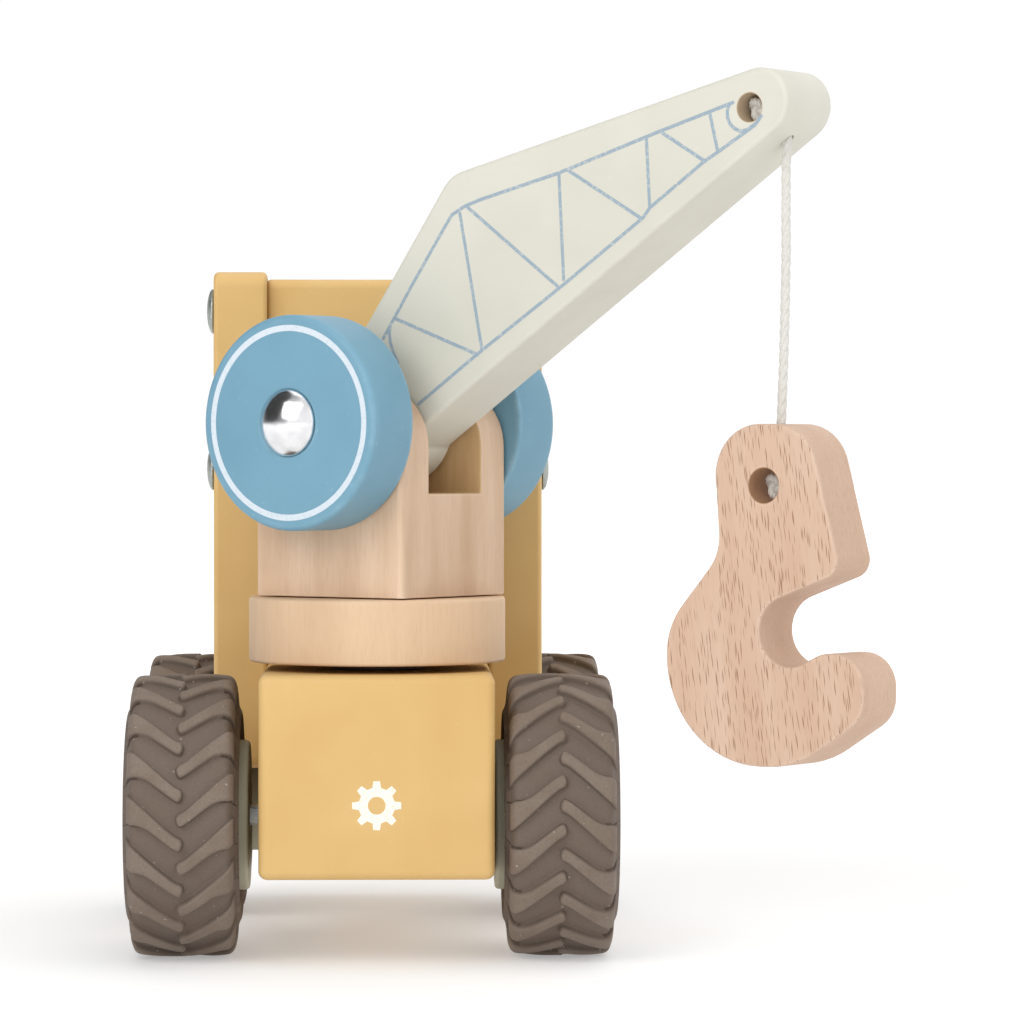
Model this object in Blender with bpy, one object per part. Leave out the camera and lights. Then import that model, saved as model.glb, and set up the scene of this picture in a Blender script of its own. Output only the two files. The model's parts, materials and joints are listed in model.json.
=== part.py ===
"""Wooden toy crane truck: chassis with a cab and four tractor wheels, a turret that turns
on the deck, a jib that the two hand wheels lift, and a wooden hook on a cord.

Metres, +Z up. The truck points along +Y and stands on Z = 0. The turret's parts are built in
the turret's own frame, where +X is the way the jib points and Y is the luffing axle's axis.
"""
import math

import bmesh
import bpy
from mathutils import Vector

# Place of the chassis's rear face, on its centre line, from the origin.
CHASSIS_X = -0.0294
CHASSIS_REAR_Y = -0.0657

# Gap between pieces that touch.
GAP = 0.0003

# Chassis
CHASSIS_WIDTH = 0.0575
CHASSIS_LENGTH = 0.188
CHASSIS_BOTTOM = 0.0213
CHASSIS_TOP = 0.0711
CHASSIS_EDGE = 0.0012

# Wheels
WHEEL_RADIUS = 0.035
REAR_AXLE_Y = 0.030
WHEELBASE = 0.1113
AXLE_RADIUS = 0.0026
AXLE_PLAY = -0.0012
TYRE_CENTRE = 0.0470
HUB_RADIUS = 0.0186
HUB_INNER = 0.0304
HUB_OUTER = 0.0550
LUGS_PER_ROW = 18
TREAD_LEAN = math.radians(19)
# From the tread's middle out: (distance, groove radius, lug radius, lug half width, share of lean)
TREAD_STATIONS = (
    (0.0000, 0.0333, WHEEL_RADIUS, 0.0013, 1.0),
    (0.0125, 0.0323, 0.0340, 0.0028, 0.0),
    (0.0139, 0.0285, 0.0292, 0.0026, -0.06),
)
# From the tread in to the bead: (radius, distance from the tyre's middle)
SIDEWALL = ((0.0262, 0.0143), (HUB_RADIUS + GAP, 0.0134))
CAP_RADIUS = 0.0082
CAP_HEIGHT = 0.0052

# Cab
PANEL_THICKNESS = 0.0136
PANEL_REAR_Y = 0.080
PANEL_BOTTOM = 0.0429
PANEL_TOP = 0.1723
CAB_WALL_Y = 0.084
CAB_WALL_THICKNESS = 0.012
CAB_CORE_TOP = 0.1702
# How far the roof line falls from the rear of the panels to the windscreen
ROOF_FALL = 0.005
WHEEL_ARCH_RADIUS = 0.039
SCREW_RADIUS = 0.0020
SCREW_HEAD_RADIUS = 0.0058
SCREW_HEAD_HEIGHT = 0.0023
SCREW_LENGTH = 0.030
SCREW_PLACES = {"upper": (0.090, 0.1620), "lower": (0.090, 0.1210), "front": (0.166, 0.0920)}

# Turntable and turret
SLEW_Y = 0.0355
TURRET_HEADING = math.radians(-36.4)
WASHER_RADIUS = 0.012
TURNTABLE_RADIUS = 0.032
TURNTABLE_BOTTOM = 0.0730
TURNTABLE_TOP = 0.0892
TURRET_SIZE = 0.0442
TURRET_OFFSET = 0.0013
TURRET_TOP = 0.1415
TURRET_TOP_ROUND = 0.015
TURRET_EDGE = 0.0020
SLOT_WIDTH = 0.0220
SLOT_FLOOR = 0.1150
BOLT_RADIUS = 0.0030
BOLT_HEAD_RADIUS = 0.0060
BOLT_HEAD_BOTTOM = 0.1105
BOLT_HEAD_TOP = 0.1145
BOLT_END = 0.0420

# Jib, in the turret's frame
LUFF_X = 0.00146
LUFF_Z = 0.1323
JIB_THICKNESS = 0.0205
JIB_TAIL_RADIUS = 0.0150
JIB_KNEE = (0.0295, 0.1928, 0.0100)
JIB_NOSE_CORNER = (0.1601, 0.2258, 0.0081)
JIB_TAIL_BACK_ANGLE = math.radians(108.1)
JIB_TAIL_FRONT_ANGLE = math.radians(339.2)
KNOT_HOLE_X = 0.1158
KNOT_HOLE_Z = 0.2056
KNOT_HOLE_RADIUS = 0.00345
CORD_MOUTH = Vector((0.1204, 0.0, 0.1986))

# Hand wheels on the luffing axle
HAND_WHEEL_RADIUS = 0.0263
HAND_WHEEL_INNER = 0.0225
HAND_WHEEL_OUTER = 0.0383
HAND_WHEEL_EDGE = 0.0020

# Cord and hook, in the turret's frame
CORD_DIAMETER = 0.0020
CORD_HOLE_RADIUS = 0.00135
CORD_ROUTE = (
    (0.12010, 0.19740),
    (0.12000, 0.19570),
    (0.11990, 0.19400),
    (0.11982, 0.19000),
    (0.11975, 0.18450),
    (0.11968, 0.17900),
    (0.11960, 0.17350),
    (0.11950, 0.16800),
    (0.11938, 0.16250),
    (0.11925, 0.15700),
    (0.11908, 0.15150),
    (0.11888, 0.14600),
    (0.11866, 0.14050),
    (0.11844, 0.13600),
    (0.11828, 0.13210),
)
CORD_BEND_END = 3
CORD_UPPER_END = 4
CORD_JOINT_GAP = 0.0005
HOOK_THICKNESS = 0.0155
HOOK_EDGE = 0.0016
HOOK_TOP = 0.1318
HOOK_X = 0.1182
HOOK_HOLE_Z = 0.1174
HOOK_HOLE_RADIUS = 0.0042
HOOK_CORNERS = (
    (0.10380, 0.13180, 0.0120),
    (0.10600, 0.10140, 0.0120),
    (0.09100, 0.08390, 0.0120),
    (0.09100, 0.05160, 0.0256),
    (0.12630, 0.05160, 0.0250),
    (0.14520, 0.06370, 0.0080),
    (0.14520, 0.07850, 0.0080),
    (0.13380, 0.07850, 0.0080),
    (0.11685, 0.07000, 0.0082),
    (0.11685, 0.08910, 0.0083),
    (0.13900, 0.09740, 0.0045),
    (0.12985, 0.13180, 0.0115),
)

ARC_STEP = math.radians(15)
QUARTER_TURN = math.radians(90)


def clear_scene():
    for obj in list(bpy.data.objects):
        bpy.data.objects.remove(obj, do_unlink=True)


def make_material(name, colour, roughness, metallic=0.0):
    material = bpy.data.materials.new(name)
    material.use_nodes = True
    shader = material.node_tree.nodes["Principled BSDF"]
    shader.inputs["Base Color"].default_value = (*colour, 1.0)
    shader.inputs["Roughness"].default_value = roughness
    shader.inputs["Metallic"].default_value = metallic
    return material


def make_materials():
    return {
        "yellow_paint": make_material("yellow_paint", (0.80, 0.52, 0.20), 0.55),
        "turntable_wood": make_material("turntable_wood", (0.78, 0.55, 0.34), 0.60),
        "turret_wood": make_material("turret_wood", (0.72, 0.49, 0.31), 0.60),
        "beech": make_material("beech", (0.72, 0.46, 0.28), 0.60),
        "cream_paint": make_material("cream_paint", (0.77, 0.73, 0.63), 0.55),
        "blue_paint": make_material("blue_paint", (0.22, 0.42, 0.56), 0.50),
        "tyre_rubber": make_material("tyre_rubber", (0.19, 0.14, 0.11), 0.80),
        "hub_plastic": make_material("hub_plastic", (0.35, 0.35, 0.26), 0.55),
        "chrome": make_material("chrome", (0.80, 0.80, 0.80), 0.12, 1.0),
        "steel": make_material("steel", (0.55, 0.55, 0.54), 0.35, 1.0),
        "cord": make_material("cord", (0.82, 0.81, 0.76), 0.85),
    }


def make_empty(name, location, heading=0.0, parent=None):
    empty = bpy.data.objects.new(name, None)
    empty.location = location
    empty.rotation_euler = (0.0, 0.0, heading)
    empty.parent = parent
    bpy.context.collection.objects.link(empty)
    return empty


def make_object(name, bm, material, parent, location=(0, 0, 0), rotation=(0, 0, 0), smooth=True):
    bmesh.ops.recalc_face_normals(bm, faces=bm.faces)
    mesh = bpy.data.meshes.new(name)
    bm.to_mesh(mesh)
    bm.free()
    if smooth:
        mesh.shade_smooth()
        mesh.set_sharp_from_angle(angle=math.radians(32))
    if material:
        mesh.materials.append(material)
    obj = bpy.data.objects.new(name, mesh)
    obj.parent = parent
    obj.location = location
    obj.rotation_euler = rotation
    bpy.context.collection.objects.link(obj)
    return obj


def arc_points(centre, radius, start, end, step=ARC_STEP):
    steps = max(2, math.ceil(abs(end - start) / step))
    angles = [start + (end - start) * i / steps for i in range(steps + 1)]
    return [(centre[0] + radius * math.cos(a), centre[1] + radius * math.sin(a)) for a in angles]


def corner_arc(before, here, after, radius, step=ARC_STEP):
    """Points of the arc of this radius that touches both sides of a corner."""
    corner = Vector(here)
    back = (Vector(before) - corner).normalized()
    ahead = (Vector(after) - corner).normalized()
    half = back.angle(ahead) / 2
    centre = corner + (back + ahead).normalized() * (radius / math.sin(half))
    start = corner + back * (radius / math.tan(half)) - centre
    end = corner + ahead * (radius / math.tan(half)) - centre
    first = math.atan2(start.y, start.x)
    sweep = (math.atan2(end.y, end.x) - first + math.pi) % (2 * math.pi) - math.pi
    return arc_points(centre, radius, first, first + sweep, step)


def rounded_outline(corners, step=ARC_STEP):
    """A closed outline from (x, y, radius) corners; a radius of 0 leaves the corner sharp."""
    points = []
    for i, (x, y, radius) in enumerate(corners):
        if radius == 0:
            points.append((x, y))
            continue
        before = corners[i - 1][:2]
        after = corners[(i + 1) % len(corners)][:2]
        points += corner_arc(before, (x, y), after, radius, step)
    return points


def prism_mesh(outline, thickness, middle=0.0):
    """A slab with its outline in XZ and its thickness along Y."""
    bm = bmesh.new()
    near = [bm.verts.new((x, middle - thickness / 2, z)) for x, z in outline]
    far = [bm.verts.new((x, middle + thickness / 2, z)) for x, z in outline]
    bm.faces.new(near)
    bm.faces.new(far[::-1])
    for i in range(len(outline)):
        j = (i + 1) % len(outline)
        bm.faces.new((near[j], near[i], far[i], far[j]))
    return bm


def turned_mesh(profile, segments):
    """A solid turned about Z from a closed (radius, z) profile; radius 0 is the axis."""
    bm = bmesh.new()
    rings = []
    for radius, z in profile:
        if radius == 0:
            rings.append([bm.verts.new((0, 0, z))] * segments)
            continue
        angles = [2 * math.pi * i / segments for i in range(segments)]
        rings.append([bm.verts.new((radius * math.cos(a), radius * math.sin(a), z)) for a in angles])
    closed = profile[0][0] > 0
    last = len(rings) if closed else len(rings) - 1
    for k in range(last):
        lower = rings[k]
        upper = rings[(k + 1) % len(rings)]
        for i in range(segments):
            j = (i + 1) % segments
            corners = list(dict.fromkeys((lower[i], lower[j], upper[j], upper[i])))
            if len(corners) > 2:
                bm.faces.new(corners)
    return bm


def cylinder_mesh(radius, length, segments=16):
    """A cylinder along Z, its middle at the origin."""
    half = length / 2
    return turned_mesh([(0, -half), (radius, -half), (radius, half), (0, half)], segments)


def add_bevel(obj, width, segments=2, angle=math.radians(40)):
    bevel = obj.modifiers.new("edges", "BEVEL")
    bevel.width = width
    bevel.segments = segments
    bevel.limit_method = "ANGLE"
    bevel.angle_limit = angle
    bevel.use_clamp_overlap = True


def make_cutter(name, bm, parent, location=(0, 0, 0), rotation=(0, 0, 0)):
    cutter = make_object(name, bm, None, parent, location, rotation, smooth=False)
    cutter.hide_render = True
    cutter.display_type = "WIRE"
    return cutter


def cut(obj, cutter):
    boolean = obj.modifiers.new(cutter.name, "BOOLEAN")
    boolean.operation = "DIFFERENCE"
    boolean.solver = "EXACT"
    boolean.object = cutter


def make_chassis(frame, materials, axle_ys, slew_empty):
    half = CHASSIS_WIDTH / 2
    outline = [(-half, CHASSIS_BOTTOM), (half, CHASSIS_BOTTOM), (half, CHASSIS_TOP), (-half, CHASSIS_TOP)]
    bm = prism_mesh(outline, CHASSIS_LENGTH, CHASSIS_LENGTH / 2)
    chassis = make_object("chassis_block", bm, materials["yellow_paint"], frame)
    add_bevel(chassis, CHASSIS_EDGE)
    for label, y in axle_ys.items():
        bore = cylinder_mesh(AXLE_RADIUS + GAP, 2 * CHASSIS_WIDTH)
        place = (0, y, WHEEL_RADIUS)
        cut(chassis, make_cutter(f"cut_{label}_bore", bore, frame, place, (0, QUARTER_TURN, 0)))
    bolt_depth = CHASSIS_TOP - BOLT_END + GAP
    bolt_bore = cylinder_mesh(BOLT_RADIUS + GAP, 2 * bolt_depth)
    cut(chassis, make_cutter("cut_bolt_bore", bolt_bore, slew_empty, (0, 0, CHASSIS_TOP)))


def hub_profile():
    bore = AXLE_RADIUS + GAP
    return [
        (bore, HUB_INNER), (HUB_RADIUS - 0.0009, HUB_INNER), (HUB_RADIUS, HUB_INNER + 0.0009),
        (HUB_RADIUS, HUB_OUTER + 0.0015), (HUB_RADIUS - 0.0025, HUB_OUTER + 0.0015),
        (HUB_RADIUS - 0.0035, HUB_OUTER - 0.0010), (0.0095, HUB_OUTER - 0.0010),
        (0.0092, HUB_OUTER), (bore, HUB_OUTER),
    ]


def cap_profile(base, bore=AXLE_RADIUS + GAP, socket=0.0032):
    """A domed push-on cap that sits on a face at this height and covers the axle's end."""
    profile = [(0, base + socket), (bore, base + socket), (bore, base), (CAP_RADIUS, base)]
    rim = 0.0006
    for i in range(3):
        angle = QUARTER_TURN * i / 3
        profile.append((CAP_RADIUS * math.cos(angle), base + rim + (CAP_HEIGHT - rim) * math.sin(angle)))
    profile.append((0, base + CAP_HEIGHT))
    return profile


def ring_point(radius, angle, z):
    return (radius * math.cos(angle), radius * math.sin(angle), z)


def tread_lug(bm, side, middle, lean):
    """Vertices of one lug's foot and top at each tread station, and of the sidewall below it."""
    lug = {"foot": [], "top": [], "wall": []}
    for z, groove, top, half_width, share in TREAD_STATIONS:
        angles = [middle + lean * share + edge * half_width / top for edge in (-1, 1)]
        lug["foot"].append([bm.verts.new(ring_point(groove, a, side * z)) for a in angles])
        lug["top"].append([bm.verts.new(ring_point(top, a, side * z)) for a in angles])
    for radius, z in SIDEWALL:
        lug["wall"].append([bm.verts.new(ring_point(radius, a, side * z)) for a in angles])
    return lug


def add_lug_faces(bm, lug):
    foot, top = lug["foot"], lug["top"]
    for k in range(len(foot) - 1):
        bm.faces.new((top[k][0], top[k][1], top[k + 1][1], top[k + 1][0]))
        for edge in (0, 1):
            bm.faces.new((foot[k][edge], top[k][edge], top[k + 1][edge], foot[k + 1][edge]))
    for k in (0, -1):
        bm.faces.new((foot[k][0], foot[k][1], top[k][1], top[k][0]))


def add_groove_faces(bm, lug, after, opposite):
    """The groove between two lugs of a row; the other row's lug ends on its inner edge."""
    foot, ahead, tip = lug["foot"], after["foot"], opposite["foot"][0]
    bm.faces.new((foot[0][1], tip[0], tip[1], ahead[0][0], ahead[1][0], foot[1][1]))
    bm.faces.new((foot[1][1], ahead[1][0], ahead[2][0], foot[2][1]))


def add_sidewall_faces(bm, lug, after):
    rings = [lug["foot"][-1]] + lug["wall"]
    ahead = [after["foot"][-1]] + after["wall"]
    for k in range(len(rings) - 1):
        bm.faces.new((rings[k][0], rings[k][1], rings[k + 1][1], rings[k + 1][0]))
        bm.faces.new((rings[k][1], ahead[k][0], ahead[k + 1][0], rings[k + 1][1]))


def tyre_mesh(lean):
    """A tyre about Z with two rows of lugs, each row half a pitch from the other."""
    bm = bmesh.new()
    count = LUGS_PER_ROW
    pitch = 2 * math.pi / count
    outer = [tread_lug(bm, 1, i * pitch, lean) for i in range(count)]
    inner = [tread_lug(bm, -1, (i + 0.5) * pitch, lean) for i in range(count)]
    for i in range(count):
        j = (i + 1) % count
        for row in (outer, inner):
            add_lug_faces(bm, row[i])
            add_sidewall_faces(bm, row[i], row[j])
        add_groove_faces(bm, outer[i], outer[j], inner[i])
        add_groove_faces(bm, inner[i], inner[j], outer[j])
        bead, next_bead = outer[i]["wall"][-1], outer[j]["wall"][-1]
        far_bead, far_before = inner[i]["wall"][-1], inner[i - 1]["wall"][-1]
        bm.faces.new((bead[1], next_bead[0], far_bead[1], far_bead[0]))
        bm.faces.new((bead[0], bead[1], far_bead[0], far_before[1]))
    return bm


def make_tyre(name, axle_empty, side, materials):
    """Every tyre is the same, so the chevrons of the right one point the other way round the axle."""
    bm = tyre_mesh(-TREAD_LEAN)
    place = (side * TYRE_CENTRE, 0, 0)
    make_object(name, bm, materials["tyre_rubber"], axle_empty, place, (0, side * QUARTER_TURN, 0))


def make_wheelset(label, axle_empty, materials):
    reach = HUB_OUTER + 0.0030
    axle = cylinder_mesh(AXLE_RADIUS, 2 * reach, 14)
    make_object(f"{label}_axle", axle, materials["steel"], axle_empty, rotation=(0, QUARTER_TURN, 0))
    for side, side_name in ((-1, "left"), (1, "right")):
        turn = (0, side * QUARTER_TURN, 0)
        hub = turned_mesh(hub_profile(), 24)
        make_object(f"{label}_hub_{side_name}", hub, materials["hub_plastic"], axle_empty, rotation=turn)
        cap = turned_mesh(cap_profile(HUB_OUTER + GAP), 16)
        make_object(f"{label}_cap_{side_name}", cap, materials["chrome"], axle_empty, rotation=turn)
        make_tyre(f"{label}_tyre_{side_name}", axle_empty, side, materials)


def make_cab_board(name, corners, frame, materials):
    """A board as wide as the chassis, from its side view in (y, z, radius) corners."""
    bm = prism_mesh(rounded_outline(corners), CHASSIS_WIDTH)
    board = make_object(name, bm, materials["yellow_paint"], frame, rotation=(0, 0, QUARTER_TURN))
    add_bevel(board, 0.0008)
    return board


def make_cab_panel(side, side_name, frame, materials, cutters):
    corners = [
        (PANEL_REAR_Y, PANEL_BOTTOM, 0.003), (PANEL_REAR_Y, PANEL_TOP, 0.004),
        (0.152, PANEL_TOP - ROOF_FALL, 0.008), (0.168, 0.116, 0.008), (CHASSIS_LENGTH, 0.112, 0.008),
        (CHASSIS_LENGTH, PANEL_BOTTOM, 0.002),
    ]
    bm = prism_mesh(rounded_outline(corners), PANEL_THICKNESS)
    x = side * (CHASSIS_WIDTH / 2 + GAP + PANEL_THICKNESS / 2)
    name = f"cab_side_{side_name}"
    panel = make_object(name, bm, materials["yellow_paint"], frame, (x, 0, 0), (0, 0, QUARTER_TURN))
    for key in ("window", "arch"):
        cut(panel, cutters[key])
    add_bevel(panel, 0.0010, 1)
    for key in SCREW_PLACES:
        cut(panel, cutters[key])


def make_cab_cutters(frame, front_axle_y):
    width = 2 * CHASSIS_WIDTH
    window = [(0.104, 0.118, 0.006), (0.104, 0.158, 0.006), (0.142, 0.158, 0.006), (0.153, 0.118, 0.006)]
    window_mesh = prism_mesh(rounded_outline(window), width)
    arch_place = (0, front_axle_y, WHEEL_RADIUS)
    sideways = (0, QUARTER_TURN, 0)
    arch_mesh = cylinder_mesh(WHEEL_ARCH_RADIUS, width, 40)
    cutters = {
        "window": make_cutter("cut_window", window_mesh, frame, rotation=(0, 0, QUARTER_TURN)),
        "arch": make_cutter("cut_arch", arch_mesh, frame, arch_place, sideways),
    }
    for key, (y, z) in SCREW_PLACES.items():
        bore = cylinder_mesh(SCREW_RADIUS + GAP, width, 12)
        cutters[key] = make_cutter(f"cut_screw_{key}", bore, frame, (0, y, z), sideways)
    return cutters


def screw_profile():
    """A domed screw, its head's underside at 0 and its shank below."""
    profile = [(0, -SCREW_LENGTH), (SCREW_RADIUS, -SCREW_LENGTH), (SCREW_RADIUS, 0), (SCREW_HEAD_RADIUS, 0)]
    for i in range(1, 4):
        angle = QUARTER_TURN * i / 4
        profile.append((SCREW_HEAD_RADIUS * math.cos(angle), SCREW_HEAD_HEIGHT * math.sin(angle)))
    profile.append((0, SCREW_HEAD_HEIGHT))
    return profile


def make_cab(frame, materials, front_axle_y):
    cutters = make_cab_cutters(frame, front_axle_y)
    floor = CHASSIS_TOP + GAP
    wall_front = CAB_WALL_Y + CAB_WALL_THICKNESS
    wall = make_cab_board("cab_rear_wall", [
        (CAB_WALL_Y, floor, 0.001), (CAB_WALL_Y, CAB_CORE_TOP, 0.003),
        (wall_front, CAB_CORE_TOP, 0.001), (wall_front, floor, 0.001),
    ], frame, materials)
    make_cab_board("cab_roof", [
        (wall_front + GAP, 0.1578, 0.001), (wall_front + GAP, CAB_CORE_TOP, 0.001),
        (0.150, CAB_CORE_TOP - ROOF_FALL, 0.003), (0.152, 0.1578, 0.001),
    ], frame, materials)
    bonnet = make_cab_board("cab_bonnet", [
        (0.140, floor, 0.001), (0.140, 0.110, 0.003),
        (0.186, 0.106, 0.009), (0.186, floor, 0.001),
    ], frame, materials)
    cut(wall, cutters["upper"])
    cut(wall, cutters["lower"])
    cut(bonnet, cutters["front"])
    face = CHASSIS_WIDTH / 2 + GAP + PANEL_THICKNESS + GAP
    for side, side_name in ((-1, "left"), (1, "right")):
        make_cab_panel(side, side_name, frame, materials, cutters)
        for key, (y, z) in SCREW_PLACES.items():
            bm = turned_mesh(screw_profile(), 14)
            name = f"cab_screw_{side_name}_{key}"
            place = (side * face, y, z)
            make_object(name, bm, materials["steel"], frame, place, (0, side * QUARTER_TURN, 0))


def make_turntable(slew_empty, materials):
    bore = BOLT_RADIUS + GAP
    washer = [(bore, CHASSIS_TOP + GAP), (WASHER_RADIUS, CHASSIS_TOP + GAP),
              (WASHER_RADIUS, TURNTABLE_BOTTOM - GAP), (bore, TURNTABLE_BOTTOM - GAP)]
    make_object("slew_washer", turned_mesh(washer, 24), materials["tyre_rubber"], slew_empty)
    edge = 0.0006
    disc = [
        (bore, TURNTABLE_BOTTOM), (TURNTABLE_RADIUS - edge, TURNTABLE_BOTTOM),
        (TURNTABLE_RADIUS, TURNTABLE_BOTTOM + edge), (TURNTABLE_RADIUS, TURNTABLE_TOP - edge),
        (TURNTABLE_RADIUS - edge, TURNTABLE_TOP), (bore, TURNTABLE_TOP),
    ]
    make_object("turntable_disc", turned_mesh(disc, 48), materials["turntable_wood"], slew_empty)
    bolt = [(0, BOLT_END), (BOLT_RADIUS, BOLT_END), (BOLT_RADIUS, BOLT_HEAD_BOTTOM),
            (BOLT_HEAD_RADIUS, BOLT_HEAD_BOTTOM), (BOLT_HEAD_RADIUS, BOLT_HEAD_TOP), (0, BOLT_HEAD_TOP)]
    make_object("slew_bolt", turned_mesh(bolt, 16), materials["steel"], slew_empty)


def make_turret(slew_empty, materials):
    half = TURRET_SIZE / 2
    bottom = TURNTABLE_TOP + GAP
    corners = [
        (TURRET_OFFSET - half, bottom, 0), (TURRET_OFFSET + half, bottom, 0),
        (TURRET_OFFSET + half, TURRET_TOP, TURRET_TOP_ROUND),
        (TURRET_OFFSET - half, TURRET_TOP, TURRET_TOP_ROUND),
    ]
    bm = prism_mesh(rounded_outline(corners), TURRET_SIZE)
    turret = make_object("turret_block", bm, materials["turret_wood"], slew_empty)
    add_bevel(turret, TURRET_EDGE, 3)
    slot = bmesh.new()
    bmesh.ops.create_cube(slot, size=1.0)
    slot_height = 2 * (TURRET_TOP - SLOT_FLOOR)
    bmesh.ops.scale(slot, vec=(3 * TURRET_SIZE, SLOT_WIDTH, slot_height), verts=slot.verts)
    slot_place = (0, 0, SLOT_FLOOR + slot_height / 2)
    cut(turret, make_cutter("cut_turret_slot", slot, slew_empty, slot_place))
    axle_bore = cylinder_mesh(AXLE_RADIUS + GAP, 3 * TURRET_SIZE)
    place = (LUFF_X, 0, LUFF_Z)
    cut(turret, make_cutter("cut_luff_bore", axle_bore, slew_empty, place, (QUARTER_TURN, 0, 0)))
    bolt_bore = cylinder_mesh(BOLT_RADIUS + GAP, 3 * TURRET_SIZE)
    cut(turret, make_cutter("cut_turret_bolt", bolt_bore, slew_empty, (0, 0, bottom)))
    recess_depth = SLOT_FLOOR - BOLT_HEAD_BOTTOM + GAP
    recess = cylinder_mesh(BOLT_HEAD_RADIUS + GAP, 2 * recess_depth, 20)
    cut(turret, make_cutter("cut_bolt_recess", recess, slew_empty, (0, 0, SLOT_FLOOR)))


def jib_outline():
    """The jib's side view: round tail about the axle, knee, and nose, in the turret's frame."""
    axle = (LUFF_X, LUFF_Z)
    tail = arc_points(axle, JIB_TAIL_RADIUS, JIB_TAIL_BACK_ANGLE, JIB_TAIL_FRONT_ANGLE)
    nose = corner_arc(tail[-1], JIB_NOSE_CORNER[:2], JIB_KNEE[:2], JIB_NOSE_CORNER[2])
    knee = corner_arc(JIB_NOSE_CORNER[:2], JIB_KNEE[:2], tail[0], JIB_KNEE[2])
    return tail + nose + knee


def make_jib(luff_empty, slew_empty, materials):
    outline = [(x - LUFF_X, z - LUFF_Z) for x, z in jib_outline()]
    jib = make_object("jib", prism_mesh(outline, JIB_THICKNESS), materials["cream_paint"], luff_empty)
    add_bevel(jib, 0.0010)
    axle_bore = cylinder_mesh(AXLE_RADIUS + GAP, 3 * JIB_THICKNESS)
    across = (QUARTER_TURN, 0, 0)
    cut(jib, make_cutter("cut_jib_axle", axle_bore, luff_empty, rotation=across))
    knot_hole = cylinder_mesh(KNOT_HOLE_RADIUS, 3 * JIB_THICKNESS, 20)
    knot_place = (KNOT_HOLE_X, 0, KNOT_HOLE_Z)
    cut(jib, make_cutter("cut_jib_knot_hole", knot_hole, slew_empty, knot_place, across))
    knot = Vector(knot_place)
    along = CORD_MOUTH - knot
    cord_hole = cylinder_mesh(CORD_HOLE_RADIUS, 2 * along.length, 12)
    lean = (0, math.atan2(along.x, along.z), 0)
    cut(jib, make_cutter("cut_jib_cord_hole", cord_hole, slew_empty, CORD_MOUTH, lean))


def make_hand_wheels(luff_empty, materials):
    reach = HAND_WHEEL_OUTER + 0.0030
    across = (QUARTER_TURN, 0, 0)
    axle = cylinder_mesh(AXLE_RADIUS, 2 * reach, 14)
    make_object("luff_axle", axle, materials["steel"], luff_empty, rotation=across)
    bore = AXLE_RADIUS + GAP
    edge = HAND_WHEEL_EDGE
    rim = HAND_WHEEL_RADIUS
    profile = [(bore, HAND_WHEEL_INNER)]
    profile += arc_points((rim - edge, HAND_WHEEL_INNER + edge), edge, -QUARTER_TURN, 0, QUARTER_TURN / 3)
    profile += arc_points((rim - edge, HAND_WHEEL_OUTER - edge), edge, 0, QUARTER_TURN, QUARTER_TURN / 3)
    profile.append((bore, HAND_WHEEL_OUTER))
    for side, side_name in ((1, "left"), (-1, "right")):
        turn = (side * QUARTER_TURN, 0, 0)
        wheel = turned_mesh(profile, 40)
        make_object(f"hand_wheel_{side_name}", wheel, materials["blue_paint"], luff_empty, rotation=turn)
        cap = turned_mesh(cap_profile(HAND_WHEEL_OUTER + GAP), 16)
        make_object(f"hand_wheel_cap_{side_name}", cap, materials["chrome"], luff_empty, rotation=turn)


def make_knot(name, parent, place, radius, depth, materials):
    bm = bmesh.new()
    bmesh.ops.create_icosphere(bm, subdivisions=2, radius=radius)
    bmesh.ops.scale(bm, vec=(1.0, depth / radius, 0.92), verts=bm.verts)
    make_object(name, bm, materials["cord"], parent, place)


def smooth_route(points, spacing=0.005):
    """Evenly spaced points on the smooth curve through the route's points."""
    dense = []
    for i in range(len(points) - 1):
        before = points[max(i - 1, 0)]
        start, end = points[i], points[i + 1]
        after = points[min(i + 2, len(points) - 1)]
        for k in range(8):
            t = k / 8
            dense.append(0.5 * (2 * start + (end - before) * t
                                + (2 * before - 5 * start + 4 * end - after) * t ** 2
                                + (3 * start - before - 3 * end + after) * t ** 3))
    dense.append(points[-1])
    lengths = [0.0]
    for first, second in zip(dense, dense[1:]):
        lengths.append(lengths[-1] + (second - first).length)
    count = max(1, round(lengths[-1] / spacing))
    spaced = []
    for i in range(count + 1):
        target = lengths[-1] * i / count
        k = next((j for j in range(1, len(lengths)) if lengths[j] >= target - 1e-9), len(lengths) - 1)
        share = (target - lengths[k - 1]) / (lengths[k] - lengths[k - 1])
        spaced.append(dense[k - 1].lerp(dense[k], share))
    return spaced


def make_cord_tube(name, points, parent, materials, spacing=0.005):
    curve = bpy.data.curves.new(name, "CURVE")
    curve.dimensions = "3D"
    curve.bevel_depth = CORD_DIAMETER / 2
    curve.bevel_resolution = 2
    curve.render_resolution_u = 0
    curve.use_fill_caps = True
    route = smooth_route([Vector(p) for p in points], spacing)
    spline = curve.splines.new("POLY")
    spline.points.add(len(route) - 1)
    for point, place in zip(spline.points, route):
        point.co = (*place, 1.0)
    curve.materials.append(materials["cord"])
    tube = bpy.data.objects.new(name, curve)
    tube.parent = parent
    bpy.context.collection.objects.link(tube)


def shortened(points, start=0.0, end=0.0):
    """The same run of points with its first and last pulled in along the run."""
    points = [Vector(p) for p in points]
    points[0] += (points[1] - points[0]).normalized() * start
    points[-1] += (points[-2] - points[-1]).normalized() * end
    return points


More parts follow.
